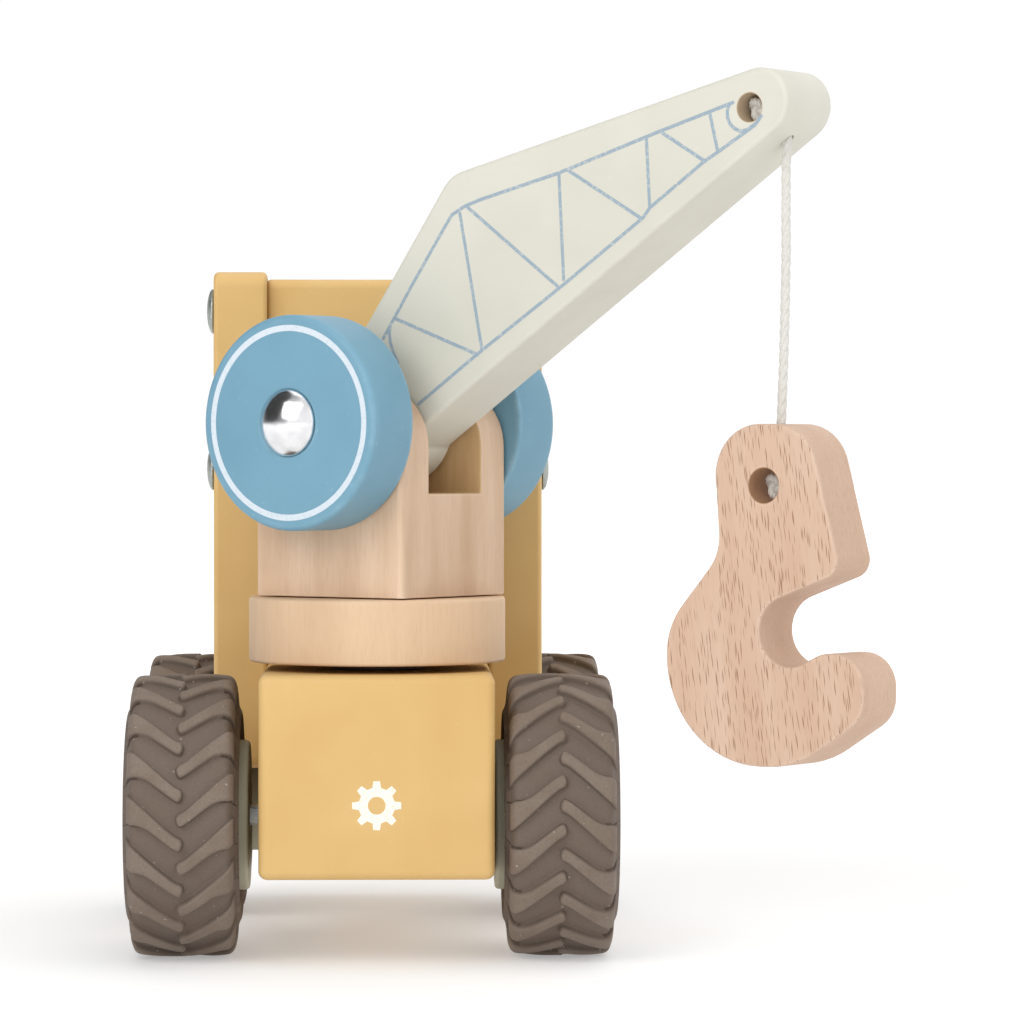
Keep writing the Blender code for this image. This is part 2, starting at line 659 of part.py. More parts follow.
def make_cord(slew_empty, materials):
    knot = Vector((KNOT_HOLE_X, 0, KNOT_HOLE_Z))
    inside = (CORD_MOUTH - knot).normalized()
    run = [knot + inside * 0.0035, CORD_MOUTH - inside * 0.0006]
    make_cord_tube("cord_in_jib", run, slew_empty, materials)
    route = [Vector((x, 0, z)) for x, z in CORD_ROUTE]
    half_gap = CORD_JOINT_GAP / 2
    bend = shortened(route[:CORD_BEND_END + 1], end=half_gap)
    upper = shortened(route[CORD_BEND_END:CORD_UPPER_END + 1], half_gap, half_gap)
    main = shortened(route[CORD_UPPER_END:], start=half_gap)
    make_cord_tube("cord_bend", bend, slew_empty, materials, 0.002)
    make_cord_tube("cord_upper", upper, slew_empty, materials)
    make_cord_tube("hoist_cord", main, slew_empty, materials)
    tail = [Vector((HOOK_X, 0, HOOK_TOP - 0.0003)), Vector((HOOK_X, 0, HOOK_HOLE_Z + 0.0040))]
    make_cord_tube("cord_in_hook", tail, slew_empty, materials)


def make_hook(slew_empty, materials):
    bm = prism_mesh(rounded_outline(HOOK_CORNERS), HOOK_THICKNESS)
    hook = make_object("hook", bm, materials["beech"], slew_empty)
    add_bevel(hook, HOOK_EDGE)
    across = cylinder_mesh(HOOK_HOLE_RADIUS, 3 * HOOK_THICKNESS, 20)
    place = (HOOK_X, 0, HOOK_HOLE_Z)
    cut(hook, make_cutter("cut_hook_knot_hole", across, slew_empty, place, (QUARTER_TURN, 0, 0)))
    down = cylinder_mesh(CORD_HOLE_RADIUS, 2 * (HOOK_TOP - HOOK_HOLE_Z), 12)
    cut(hook, make_cutter("cut_hook_cord_hole", down, slew_empty, (HOOK_X, 0, HOOK_TOP)))


def main():
    clear_scene()
    materials = make_materials()
    frame = make_empty("truck_frame", (CHASSIS_X, CHASSIS_REAR_Y, 0))
    slew = make_empty("slew_axis", (0, SLEW_Y, 0), TURRET_HEADING, frame)
    luff = make_empty("luff_axis", (LUFF_X, 0, LUFF_Z), parent=slew)
    axle_ys = {"rear": REAR_AXLE_Y, "front": REAR_AXLE_Y + WHEELBASE}
    make_chassis(frame, materials, axle_ys, slew)
    for label, y in axle_ys.items():
        axis = make_empty(f"{label}_axle_axis", (AXLE_PLAY, y, WHEEL_RADIUS), parent=frame)
        make_wheelset(label, axis, materials)
    make_cab(frame, materials, axle_ys["front"])
    make_turntable(slew, materials)
    make_turret(slew, materials)
    make_jib(luff, slew, materials)
    make_hand_wheels(luff, materials)
    make_knot("jib_knot", slew, (KNOT_HOLE_X, 0, KNOT_HOLE_Z), 0.0030, 0.0028, materials)
    make_cord(slew, materials)
    make_hook(slew, materials)
    make_knot("hook_knot", slew, (HOOK_X, 0, HOOK_HOLE_Z), 0.0035, 0.0030, materials)


main()
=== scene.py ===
"""Looks of the wooden toy crane truck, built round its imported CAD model.

Metres, +Z up. Outline corners, profile points and printed lines are in millimetres until they are
scaled, and so are the sizes without MM that go into them. The truck's own pieces are made in the
truck's frame, whose origin is on the floor under the middle of the chassis's rear face. The turret,
jib, cord and hook are made in the turret's frame, where +X is the way the jib points, -Y is the side
of the left hand wheel, and the origin is on the floor under the turret's axis.
"""
import json
import math

import bmesh
import bpy
import numpy as np
from mathutils import Matrix, Vector


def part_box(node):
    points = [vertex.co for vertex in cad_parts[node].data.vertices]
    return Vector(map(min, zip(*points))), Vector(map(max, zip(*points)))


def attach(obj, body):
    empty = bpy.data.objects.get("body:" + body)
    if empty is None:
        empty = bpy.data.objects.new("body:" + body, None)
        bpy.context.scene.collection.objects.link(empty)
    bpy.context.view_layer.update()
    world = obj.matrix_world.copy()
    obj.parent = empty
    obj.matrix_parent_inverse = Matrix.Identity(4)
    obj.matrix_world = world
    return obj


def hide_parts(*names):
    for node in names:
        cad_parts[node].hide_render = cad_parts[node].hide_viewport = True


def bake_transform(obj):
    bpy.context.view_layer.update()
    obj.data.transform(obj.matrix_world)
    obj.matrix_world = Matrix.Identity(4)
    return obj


MM = 0.001
# Play between pieces that are fitted together
GAP = 0.3 * MM
QUARTER = math.pi / 2
SIDES = ((-1, "left"), (1, "right"))

# Camera, from the middle of the chassis's rear face
CAMERA_PLACE = Vector((0.0047, -1.090, 0.1257))
CAMERA_YAW = math.radians(1.477)
CAMERA_PITCH = math.radians(-0.789)
CAMERA_LENS = 158.2

# Direction of the dark corner of the studio
DARK_CORNER = (-0.85, 0.12, 0.52)

# Metres, long enough for a drill or a saw cut to pass right through any piece
THROUGH = 0.2
# A place well clear of the toy, in metres
FAR = 0.5

# Chassis and wheels
CHASSIS_EDGE = 2.2 * MM
BOLT_RADIUS = 3.3 * MM
BOLT_DEPTH = 28.6 * MM
MARK_HEIGHT = 39.5 * MM
MARK_RADIUS = 6.0 * MM
AXLE_BORE = 2.9 * MM
TYRE_CENTRES = {"rear": 46.5 * MM, "front": 48.0 * MM}
HUB_RADIUS = 18.6 * MM
HUB_INNER = 30.4 * MM
HUB_OUTER = 55.0 * MM
CAP_RADIUS = 8.2 * MM
CAP_HEIGHT = 4.4 * MM
CAP_WELL = 3.8 * MM
# Angle between the points of a small arc on a turned rim
LIP_STEP = math.radians(22)
LUGS = 18
LUG_LEAN = math.radians(19.3)
LUG_HEIGHT = 1.75 * MM
LUG_TIP_PAST_MIDDLE = 1.1 * MM
LUG_TIP_RADIUS = 1.95 * MM
TREAD_HALF = 12.5 * MM
# Shares of the way from a lug's middle to its flared side (below 0) and to its straight side
LUG_COLUMNS = (-1.0, -0.87, -0.72, -0.45, 0.0, 0.35, 0.62, 0.82, 1.0)
GROOVE_COLUMNS = (0.25, 0.5, 0.75)
# Half of the tyre's section without lugs, from its middle out to the bead: (z, radius)
CARCASS = (
    (0.0, 33.3), (4.0, 33.28), (8.0, 33.15), (10.4, 32.9), (11.4, 32.45), (12.0, 31.5), (12.4, 30.2),
    (12.8, 28.6), (13.4, 27.0), (14.0, 25.8), (14.1, 24.9), (13.65, 24.2), (13.75, 23.4),
    (13.9, 22.6), (13.3, 21.6), (13.15, 20.6), (13.5, 19.6), (13.3, 18.9),
)

# Cab, in the truck's frame: corners in (y, z, radius)
BOARD_EDGE = 0.9 * MM
PANEL_EDGE = 1.3 * MM
PANEL_THICKNESS = 13.6 * MM
PANEL_SEAM = 0.02 * MM
PANEL_CORNERS = (
    (80.0, 42.9, 3), (80.0, 172.3, 4), (152.0, 167.3, 8), (168.0, 116.0, 8), (188.0, 112.0, 8),
    (188.0, 42.9, 2),
)
WINDOW_CORNERS = ((104, 118, 6), (104, 158, 6), (142, 158, 6), (153, 118, 6))
WALL_CORNERS = ((84.0, 71.4, 1), (84.0, 170.2, 2.5), (96.0, 170.2, 1), (96.0, 71.4, 1))
ROOF_CORNERS = ((96.3, 157.8, 1), (96.3, 170.2, 1), (150.0, 165.2, 3), (152.0, 157.8, 1))
BONNET_CORNERS = ((140.0, 71.4, 1), (140.0, 110.0, 3), (186.0, 106.0, 9), (186.0, 71.4, 1))
WHEEL_ARCH_RADIUS = 39.0 * MM
SCREW_PLACES = {"upper": (90.0, 162.0), "lower": (90.0, 121.0), "front": (166.0, 92.0)}
SCREW_HEAD_RADIUS = 5.8 * MM
SCREW_HEAD_HEIGHT = 1.75 * MM
SCREW_RIM = 0.2 * MM
SCREW_SHANK_RADIUS = 2.0 * MM
SCREW_SHANK_LENGTH = 8.0 * MM

# Turntable and turret, in the turret's frame
TURNTABLE_RADIUS = 32.0 * MM
TURNTABLE_EDGE = 0.9 * MM
TURRET_SIZE = (45.5, 44.2)
TURRET_OFFSET = 1.3
TURRET_TOP = 141.5
TURRET_CORNER = 15.0
TURRET_EDGE = 1.8 * MM
TURRET_SPARE = 4.0
SLOT_WIDTH = 22.0 * MM
SLOT_FLOOR = 115.0 * MM
BOLT_RECESS_RADIUS = 6.3 * MM
BOLT_RECESS_FLOOR = 110.2 * MM

# Jib, in the turret's frame
LUFF = Vector((1.46 * MM, 0, 132.3 * MM))
JIB_THICKNESS = 20.5 * MM
JIB_EDGE = 1.1 * MM
JIB_TAIL_RADIUS = 15.0
JIB_TAIL_ANGLES = (math.radians(108.1), math.radians(339.2))
JIB_KNEE = (29.5, 192.8, 10.0)
JIB_NOSE = (160.1, 225.8, 8.1)
KNOT_HOLE = Vector((115.8 * MM, 0, 205.6 * MM))
KNOT_HOLE_RADIUS = 3.45 * MM
CORD_MOUTH = Vector((120.4 * MM, 0, 198.6 * MM))
CORD_HOLE_RADIUS = 1.35 * MM
PRINT_WIDTH = 0.85 * MM
PRINT_THICKNESS = 0.04 * MM
# Printed lattice on the jib's sides, in (x, z) millimetres
UPPER_CHORD = ((9.5, 153.2), (11.8, 156.6), (12.9, 158.2), (17.7, 165.3), (28.5, 180.6), (30.4, 183.1),
               (34.3, 185.1), (38.8, 186.5), (62.0, 192.2), (89.8, 200.7), (111.2, 206.9))
HOLE_LINE = ((110.3, 206.7), (109.7, 205.0), (109.8, 203.3), (110.5, 201.9), (111.7, 200.8),
             (113.4, 200.1), (115.2, 200.4), (117.3, 201.6))
LOWER_CHORD = ((119.0, 203.4), (117.3, 201.4), (107.1, 195.5), (103.2, 193.4), (96.1, 188.5))
LOWER_CHORD_REST = ((95.3, 188.0), (88.0, 183.0), (86.2, 180.8), (63.4, 165.4), (39.0, 149.7),
                    (20.3, 137.0))
TAIL_LINE = ((11.8, 156.6), (11.4, 154.6), (11.7, 152.2), (12.7, 149.6), (14.0, 147.2))
WEBS = (((12.9, 158.2), (38.1, 148.9)), ((32.8, 183.3), (39.4, 150.0)),
        ((35.2, 184.7), (61.5, 165.1)), ((62.0, 192.2), (63.4, 166.6)),
        ((64.4, 192.9), (85.3, 180.8)), ((87.1, 199.3), (88.0, 183.5)),
        ((91.6, 200.6), (103.6, 193.4)), ((104.9, 204.5), (107.1, 195.5)))

# Hand wheels, measured along the axle from the jib's middle
HAND_WHEEL_RADIUS = 26.3
HAND_WHEEL_INNER = 22.5
HAND_WHEEL_OUTER = 38.3
HAND_WHEEL_EDGE = 1.5
HAND_WHEEL_BACK_EDGE = 0.6
CAP_RECESS_RADIUS = 8.35
CAP_RECESS_DEPTH = 0.4
RING_RADII = (22.3, 23.8)

# Cord and hook, in the turret's frame
# The route and the seams of the cord's lengths, in (x, z) metres, as in the CAD
CORD_ROUTE = (
    (0.11965, 0.19740), (0.11962, 0.19570), (0.11958, 0.19400), (0.11955, 0.19000), (0.11953, 0.18450),
    (0.11952, 0.17900), (0.11960, 0.17350), (0.11950, 0.16800), (0.11938, 0.16250), (0.11925, 0.15700),
    (0.11908, 0.15150), (0.11888, 0.14600), (0.11866, 0.14050), (0.11844, 0.13600), (0.11828, 0.13210),
)
CORD_SEAMS = ((0.11956, 0.1920), (0.11954, 0.18725))
CORD_STRANDS = 3
CORD_LAY = 9.0 * MM
STRAND_RADIUS = 0.76 * MM
STRAND_OFFSET = 0.38 * MM
KNOT_STEPS = 96
# Turns of the strands once round a knot
KNOT_TWIST = 9
KNOT_STRAND_RADIUS = 0.551 * MM
KNOT_STRAND_OFFSET = 0.456 * MM
HOOK_THICKNESS = 15.5 * MM
HOOK_EDGE = 0.6 * MM
HOOK_HOLE = Vector((118.2 * MM, 0, 117.4 * MM))
HOOK_HOLE_RADIUS = 4.2 * MM
HOOK_TOP = 131.8 * MM
HOOK_CORNERS = (
    (103.80, 131.80, 12.0), (106.00, 101.40, 12.0), (91.00, 83.90, 17.5), (91.00, 51.60, 25.6),
    (126.30, 51.60, 25.0), (145.20, 63.70, 8.0), (145.20, 78.50, 8.0), (133.80, 78.50, 8.0),
    (116.85, 70.00, 8.2), (116.85, 89.10, 8.3), (139.00, 97.40, 4.5), (129.85, 131.80, 11.5),
)


# ---- materials


def srgb(*levels):
    """A linear colour from 0-255 sRGB levels of red, green and blue."""
    shares = [level / 255 for level in levels]
    return tuple(s / 12.92 if s <= 0.04045 else ((s + 0.055) / 1.055) ** 2.4 for s in shares) + (1.0,)


def new_material(name, roughness, metallic=0.0, specular=0.5):
    material = bpy.data.materials.new(name)
    material.use_nodes = True
    tree = material.node_tree
    shader = tree.nodes["Principled BSDF"]
    shader.inputs["Roughness"].default_value = roughness
    shader.inputs["Metallic"].default_value = metallic
    shader.inputs["Specular IOR Level"].default_value = specular
    return material, tree, shader


def add_node(tree, kind, inputs=None, **settings):
    """A shader node with its inputs linked or set."""
    made = tree.nodes.new("ShaderNode" + kind)
    for key, value in settings.items():
        setattr(made, key, value)
    for key, value in (inputs or {}).items():
        if isinstance(value, bpy.types.NodeSocket):
            tree.links.new(value, made.inputs[key])
        else:
            made.inputs[key].default_value = value
    return made


def own_place(tree):
    """The place on the piece, in the piece's own axes."""
    return add_node(tree, "TexCoord").outputs["Object"]


def coordinates(tree, scale=(1.0, 1.0, 1.0), turn=(0.0, 0.0, 0.0)):
    """The piece's own coordinates, turned and stretched."""
    turned = add_node(tree, "Mapping", {"Vector": own_place(tree), "Rotation": turn})
    inputs = {"Vector": turned.outputs["Vector"], "Scale": scale}
    return add_node(tree, "Mapping", inputs).outputs["Vector"]


def noise(tree, vector, scale, detail, roughness=0.5):
    inputs = {"Vector": vector, "Scale": scale, "Detail": detail, "Roughness": roughness}
    return add_node(tree, "TexNoise", inputs).outputs["Fac"]


def between(tree, value, low, high, to_low=0.0, to_high=1.0):
    """A value's share of the way from low to high, clamped, and rescaled."""
    inputs = {"Value": value, "From Min": low, "From Max": high, "To Min": to_low, "To Max": to_high}
    return add_node(tree, "MapRange", inputs).outputs["Result"]


def math_node(tree, operation, first, second=0.0):
    made = add_node(tree, "Math", {0: first, 1: second}, operation=operation)
    return made.outputs["Value"]


def times(tree, first, second):
    return math_node(tree, "MULTIPLY", first, second)


def vector_node(tree, operation, first, second=(0.0, 0.0, 0.0)):
    made = add_node(tree, "VectorMath", {0: first, 1: second}, operation=operation)
    return made.outputs["Value" if operation in ("DOT_PRODUCT", "LENGTH") else "Vector"]


def mix_colours(tree, share, first, second, blend="MIX"):
    inputs = {0: share, 6: first, 7: second}
    return add_node(tree, "Mix", inputs, data_type="RGBA", blend_type=blend).outputs[2]


def blend_in(tree, tone, colour, value, low, high, most=1.0):
    """Mixes in a colour as a value goes from low to high, up to a share of it."""
    return mix_colours(tree, between(tree, value, low, high, 0.0, most), tone, colour)


def set_bump(tree, shader, height, distance, strength):
    inputs = {"Height": height, "Distance": distance, "Strength": strength}
    made = add_node(tree, "Bump", inputs)
    tree.links.new(made.outputs["Normal"], shader.inputs["Normal"])


def set_colour(tree, shader, tone, uneven=None, low=0.0, high=0.0):
    """Links a colour and, with an uneven value, a roughness from low to high that follows it."""
    tree.links.new(tone, shader.inputs["Base Color"])
    if uneven is not None:
        tree.links.new(between(tree, uneven, 0.3, 0.7, low, high), shader.inputs["Roughness"])


def painted_wood(name, colour, shade, wear, roughness=0.5, grain_turn=(0.0, 0.0, 0.0),
                 edge=0.9 * MM):
    """Satin paint: cloudy tone, faint grain showing through, brush-fine peel, and paler rounded edges
    in patches, partly worn paint and partly a painted highlight.
    """
    material, tree, shader = new_material(name, roughness, specular=0.38)
    plain = coordinates(tree)
    along = coordinates(tree, (1.0, 1.0, 0.08), grain_turn)
    clouds = noise(tree, plain, 38.0, 2.0)
    grain = noise(tree, along, 620.0, 3.0)
    peel = noise(tree, plain, 1500.0, 2.0)
    tone = blend_in(tree, colour, shade, clouds, 0.35, 0.65)
    tone = blend_in(tree, tone, shade, grain, 0.35, 0.75, 0.16)
    tone = blend_in(tree, tone, wear, noise(tree, plain, 700.0, 1.0), 0.70, 0.78, 0.20)
    # Painted highlight, partly worn paint: the wear colour on the rounded edges, in patches
    patches = between(tree, noise(tree, plain, 160.0, 4.0), 0.42, 0.68)
    painted_edge_highlight = times(tree, edge_share(tree, edge), patches)
    tone = mix_colours(tree, times(tree, painted_edge_highlight, 0.75), tone, wear)
    set_colour(tree, shader, tone, clouds, roughness - 0.05, roughness + 0.06)
    relief = math_node(tree, "ADD", times(tree, peel, 0.5), grain)
    set_bump(tree, shader, relief, 0.03 * MM, 0.5)
    return material


def edge_share(tree, radius):
    """0 on a flat face, rising towards 1 on the piece's rounded edges."""
    soft = add_node(tree, "Bevel", {"Radius": radius}, samples=4).outputs["Normal"]
    true = add_node(tree, "NewGeometry").outputs["True Normal"]
    return between(tree, vector_node(tree, "DOT_PRODUCT", soft, true), 0.995, 0.90)


def face_share(tree, axis):
    """1 on faces square to one of the piece's axes, 0 on faces that turn away from it."""
    normal = add_node(tree, "TexCoord").outputs["Normal"]
    part = add_node(tree, "SeparateXYZ", {"Vector": normal}).outputs[axis]
    return between(tree, math_node(tree, "ABSOLUTE", part), 0.55, 0.85)


def bare_wood(name, colour, dark, fleck, fleck_share, grain_turn=(0.0, 0.0, 0.0), face_axis=None,
              painted_face_shade=None):
    """Sanded wood with its grain up the piece's z: fine lines, slow bands, short dark flecks, and a
    painted highlight on its rounded edges.

    With a face_axis, painted_face_shade is the darkness of the other faces and of the faces square to
    it: painted shade on the sides that take less light.
    """
    material, tree, shader = new_material(name, 0.62, specular=0.3)
    along = coordinates(tree, (1.0, 1.0, 0.05), grain_turn)
    bands = noise(tree, coordinates(tree, (1.0, 1.0, 0.12), grain_turn), 90.0, 2.0)
    fibres = noise(tree, along, 1500.0, 4.0, 0.6)
    clouds = noise(tree, coordinates(tree), 45.0, 2.0)
    streaks = noise(tree, coordinates(tree, (1.0, 1.0, 0.03), grain_turn), 420.0, 3.0, 0.6)
    tone = blend_in(tree, colour, dark, bands, 0.3, 0.7)
    tone = blend_in(tree, tone, dark, fibres, 0.40, 0.72, 0.42)
    tone = blend_in(tree, tone, colour, clouds, 0.45, 0.75, 0.25)
    tone = blend_in(tree, tone, dark, streaks, 0.52, 0.74, 0.42)
    # Painted shade: the faces that turn one way are darkened
    if face_axis:
        square = face_share(tree, face_axis)
        shade = between(tree, square, 0.0, 1.0, *painted_face_shade)
        grey = add_node(tree, "CombineColor", {"Red": shade, "Green": shade, "Blue": shade})
        tone = mix_colours(tree, 1.0, tone, grey.outputs["Color"], "MULTIPLY")
    # Painted highlight: the rounded edges lighter, towards a pale cream
    edge_highlight_tone = mix_colours(tree, 0.35, colour, (1.0, 0.94, 0.86, 1.0))
    painted_edge_highlight = times(tree, edge_share(tree, 1.2 * MM), 0.35)
    tone = mix_colours(tree, painted_edge_highlight, tone, edge_highlight_tone)
    marks = fleck_marks(tree, grain_turn)
    # A board cut along its grain shows most of its pores on its broad faces
    if face_axis == "Y":
        marks = times(tree, marks, between(tree, square, 0.0, 1.0, 0.25, 1.0))
    tone = mix_colours(tree, times(tree, marks, fleck_share), tone, fleck)
    height = math_node(tree, "SUBTRACT", fibres, times(tree, marks, 1.5))
    set_colour(tree, shader, tone, fibres, 0.56, 0.70)
    set_bump(tree, shader, height, 0.035 * MM, 0.6)
    return material


def tint_inside(material, share, tint):
    """Multiplies the colour by a tint where share is 1: painted shade inside the slot and the holes,
    with the wood's own tone of their walls.
    """
    tree = material.node_tree
    base = tree.nodes["Principled BSDF"].inputs["Base Color"]
    tone = base.links[0].from_socket
    tinted = mix_colours(tree, 1.0, tone, tint, "MULTIPLY")
    tree.links.new(mix_colours(tree, share, tone, tinted), base)


def paint_slot_shade(material):
    """Painted shade in the turret's slot: its walls darker, and yellower as sawn wood, than the sanded
    faces.
    """
    tree = material.node_tree
    parts = add_node(tree, "SeparateXYZ", {"Vector": own_place(tree)})
    across = math_node(tree, "ABSOLUTE", parts.outputs["Y"])
    half = SLOT_WIDTH / 2
    inside = between(tree, across, half + 0.3 * MM, half + 0.1 * MM)
    above = between(tree, parts.outputs["Z"], SLOT_FLOOR - 0.3 * MM, SLOT_FLOOR - 0.1 * MM)
    tint_inside(material, times(tree, inside, above), (0.82, 0.76, 0.55, 1.0))


def paint_hole_shade(material, middle, radius, tint):
    """A hole drilled across the piece: its wall darker, partly painted shade in the hole and partly the
    rough wood's own tone.
    """
    tree = material.node_tree
    from_middle = vector_node(tree, "SUBTRACT", own_place(tree), tuple(middle))
    in_view = vector_node(tree, "MULTIPLY", from_middle, (1.0, 0.0, 1.0))
    rim = radius + 0.1 * MM
    share = between(tree, vector_node(tree, "LENGTH", in_view), rim + 0.15 * MM, rim)
    tint_inside(material, share, tint)


# Layers of pores in bare wood: cells to the metre, squeeze along the grain, width, and offset
FLECK_LAYERS = ((1900.0, 0.070, 0.30, 0.0), (1500.0, 0.080, 0.26, 7.3), (2300.0, 0.055, 0.30, 3.1))


def fleck_marks(tree, grain_turn):
    """Thin pores a few millimetres long, in cells of their own, some of them left out."""
    marks = None
    for cells, squeeze, width, offset in FLECK_LAYERS:
        stretched = coordinates(tree, (1.0, 1.0, squeeze), grain_turn)
        moved = vector_node(tree, "ADD", stretched, (offset, offset, offset))
        inputs = {"Vector": moved, "Scale": cells, "Randomness": 1.0}
        voronoi = add_node(tree, "TexVoronoi", inputs)
        core = between(tree, voronoi.outputs["Distance"], width, width * 0.5)
        split = add_node(tree, "SeparateColor", {"Color": voronoi.outputs["Color"]})
        kept = between(tree, split.outputs["Red"], 0.15, 0.60)
        mark = times(tree, core, kept)
        marks = mark if marks is None else math_node(tree, "MAXIMUM", marks, mark)
    return marks


def rubber(name):
    """Brown moulded rubber: lug tops lighter than the grooves, painted shade at the foot of the lug
    walls, and a few pale specks.
    """
    material, tree, shader = new_material(name, 0.72, specular=0.32)
    plain = coordinates(tree)
    height = add_node(tree, "Attribute", attribute_name="lug_height").outputs["Fac"]
    clouds = noise(tree, plain, 110.0, 4.0)
    grit = noise(tree, plain, 1900.0, 3.0)
    tone = mix_colours(tree, height, srgb(108, 95, 85), srgb(126, 112, 100))
    # Painted shade: darker at the foot of each lug wall, where the groove lies in its shade
    above, below = between(tree, height, 0.01, 0.20), between(tree, height, 0.85, 0.45)
    foot = times(tree, above, below)
    tone = blend_in(tree, tone, srgb(78, 67, 59), foot, 0.0, 1.0, 0.7)
    tone = blend_in(tree, tone, srgb(112, 96, 84), clouds, 0.4, 0.7, 0.5)
    tone = blend_in(tree, tone, srgb(84, 72, 64), grit, 0.45, 0.75, 0.30)
    tone = blend_in(tree, tone, srgb(178, 168, 156), noise(tree, plain, 1050.0, 0.0), 0.82, 0.86, 0.55)
    set_colour(tree, shader, tone, clouds, 0.66, 0.82)
    set_bump(tree, shader, grit, 0.05 * MM, 0.5)
    return material


def moulded(name, colour, shade):
    """Matt plastic with a fine even texture and faint flow marks."""
    material, tree, shader = new_material(name, 0.55, specular=0.4)
    plain = coordinates(tree)
    clouds = noise(tree, plain, 70.0, 3.0)
    tone = blend_in(tree, colour, shade, clouds, 0.35, 0.65)
    set_colour(tree, shader, tone, clouds, 0.48, 0.60)
    set_bump(tree, shader, noise(tree, plain, 2200.0, 2.0), 0.02 * MM, 0.5)
    return material


def metal(name, colour, shade, roughness, dents=0.0):
    """Plated or plain steel with hair scratches, small dents and a slightly uneven polish."""
    material, tree, shader = new_material(name, roughness, 1.0)
    plain = coordinates(tree)
    clouds = noise(tree, plain, 260.0, 3.0)
    hairs = noise(tree, coordinates(tree, (1.0, 0.04, 1.0)), 2600.0, 2.0)
    pits = noise(tree, plain, 2800.0, 2.0)
    tone = blend_in(tree, colour, shade, clouds, 0.35, 0.7)
    set_colour(tree, shader, tone, hairs, roughness * 0.7, roughness * 1.5)
    scratches = times(tree, hairs, 0.1)
    height = math_node(tree, "ADD", scratches, times(tree, pits, dents))
    set_bump(tree, shader, height, 0.04 * MM, 0.4)
    return material


def cotton(name):
    """White cotton yarn: fine fibres along the strands, a little greyer in fine streaks and patches."""
    material, tree, shader = new_material(name, 0.9, specular=0.2)
    shader.inputs["Sheen Weight"].default_value = 0.25
    fibres = noise(tree, coordinates(tree, (1.0, 1.0, 0.35)), 5200.0, 3.0)
    clouds = noise(tree, coordinates(tree), 300.0, 3.0)
    tone = blend_in(tree, srgb(216, 214, 208), srgb(201, 198, 192), fibres, 0.35, 0.7)
    tone = blend_in(tree, tone, srgb(206, 201, 193), clouds, 0.45, 0.75, 0.35)
    set_colour(tree, shader, tone)
    set_bump(tree, shader, fibres, 0.025 * MM, 0.5)
    return material


def ink(name, colour, thin):
    """A printed line, a little thin in places."""
    material, tree, shader = new_material(name, 0.55, specular=0.35)
    wear = noise(tree, coordinates(tree), 1400.0, 3.0)
    tone = blend_in(tree, colour, thin, wear, 0.52, 0.72, 0.7)
    set_colour(tree, shader, tone, wear, 0.50, 0.62)
    return material


def make_materials():
    """Every material, by a short name."""
    sideways = (0.0, QUARTER, 0.0)
    lean = (0.0, math.radians(7), 0.0)
    looks = {
        # The third colour of each paint is for its pale specks and for the painted highlight on its
        # rounded edges
        "yellow": painted_wood("yellow_paint", srgb(214, 178, 116), srgb(208, 170, 107),
                               srgb(230, 201, 150)),
        "cream": painted_wood("cream_paint", srgb(210, 208, 196), srgb(204, 202, 189),
                              srgb(222, 218, 205), grain_turn=sideways),
        # A wider edge spreads the painted highlight over the hand wheels' rounded rims
        "blue": painted_wood("blue_paint", srgb(113, 157, 178), srgb(108, 151, 173),
                             srgb(160, 192, 208), 0.46, edge=2.2 * MM),
        # Painted shade: the hook's narrow side faces are darker than its broad ones
        "beech": bare_wood("beech", srgb(212, 183, 161), srgb(200, 167, 143), srgb(140, 98, 72), 0.85,
                           lean, face_axis="Y", painted_face_shade=(0.93, 1.0)),
        # Painted shade, partly end grain: the turret's faces square to the jib's way are darker, as
        # they lie in the jib's shade
        "turret": bare_wood("turret_wood", srgb(232, 204, 177), srgb(206, 173, 143),
                            srgb(170, 130, 100), 0.12, face_axis="X", painted_face_shade=(1.0, 0.86)),
        "turntable": bare_wood("turntable_wood", srgb(220, 190, 157), srgb(208, 176, 143),
                               srgb(180, 140, 106), 0.10),
        "rubber": rubber("tyre_rubber"),
        "hub": moulded("hub_green", srgb(186, 184, 163), srgb(177, 175, 154)),
        "chrome": metal("chrome", (0.86, 0.86, 0.87, 1.0), (0.70, 0.70, 0.72, 1.0), 0.16, 0.9),
        "steel": metal("steel", (0.60, 0.61, 0.60, 1.0), (0.44, 0.45, 0.44, 1.0), 0.38),
        "screw": metal("screw", (0.47, 0.50, 0.47, 1.0), (0.36, 0.38, 0.35, 1.0), 0.50),
        "cord": cotton("cord"),
        "line_ink": ink("line_ink", srgb(148, 165, 177), srgb(200, 202, 197)),
        "ring_ink": ink("ring_ink", srgb(208, 217, 225), srgb(184, 202, 213)),
        "mark_ink": ink("mark_ink", srgb(246, 242, 228), srgb(238, 214, 168)),
    }
    # Painted shade inside the turret's slot
    paint_slot_shade(looks["turret"])
    # Painted shade in the two drilled holes, partly their bare wood's own tone
    paint_hole_shade(looks["cream"], KNOT_HOLE, KNOT_HOLE_RADIUS, (0.86, 0.70, 0.56, 1.0))
    paint_hole_shade(looks["beech"], HOOK_HOLE, HOOK_HOLE_RADIUS, (0.80, 0.68, 0.55, 1.0))
    return looks


# ---- meshes


def scaled(points):
    """Millimetre corners as metres."""
    return [tuple(value * MM for value in point) for point in points]


def arc_points(centre, radius, start, end, step=math.radians(6)):
    """Points of an arc from one angle to another, both ends included."""
    count = max(3, math.ceil(abs(end - start) / step))
    angles = [start + (end - start) * i / count for i in range(count + 1)]
    return [(centre[0] + radius * math.cos(a), centre[1] + radius * math.sin(a)) for a in angles]


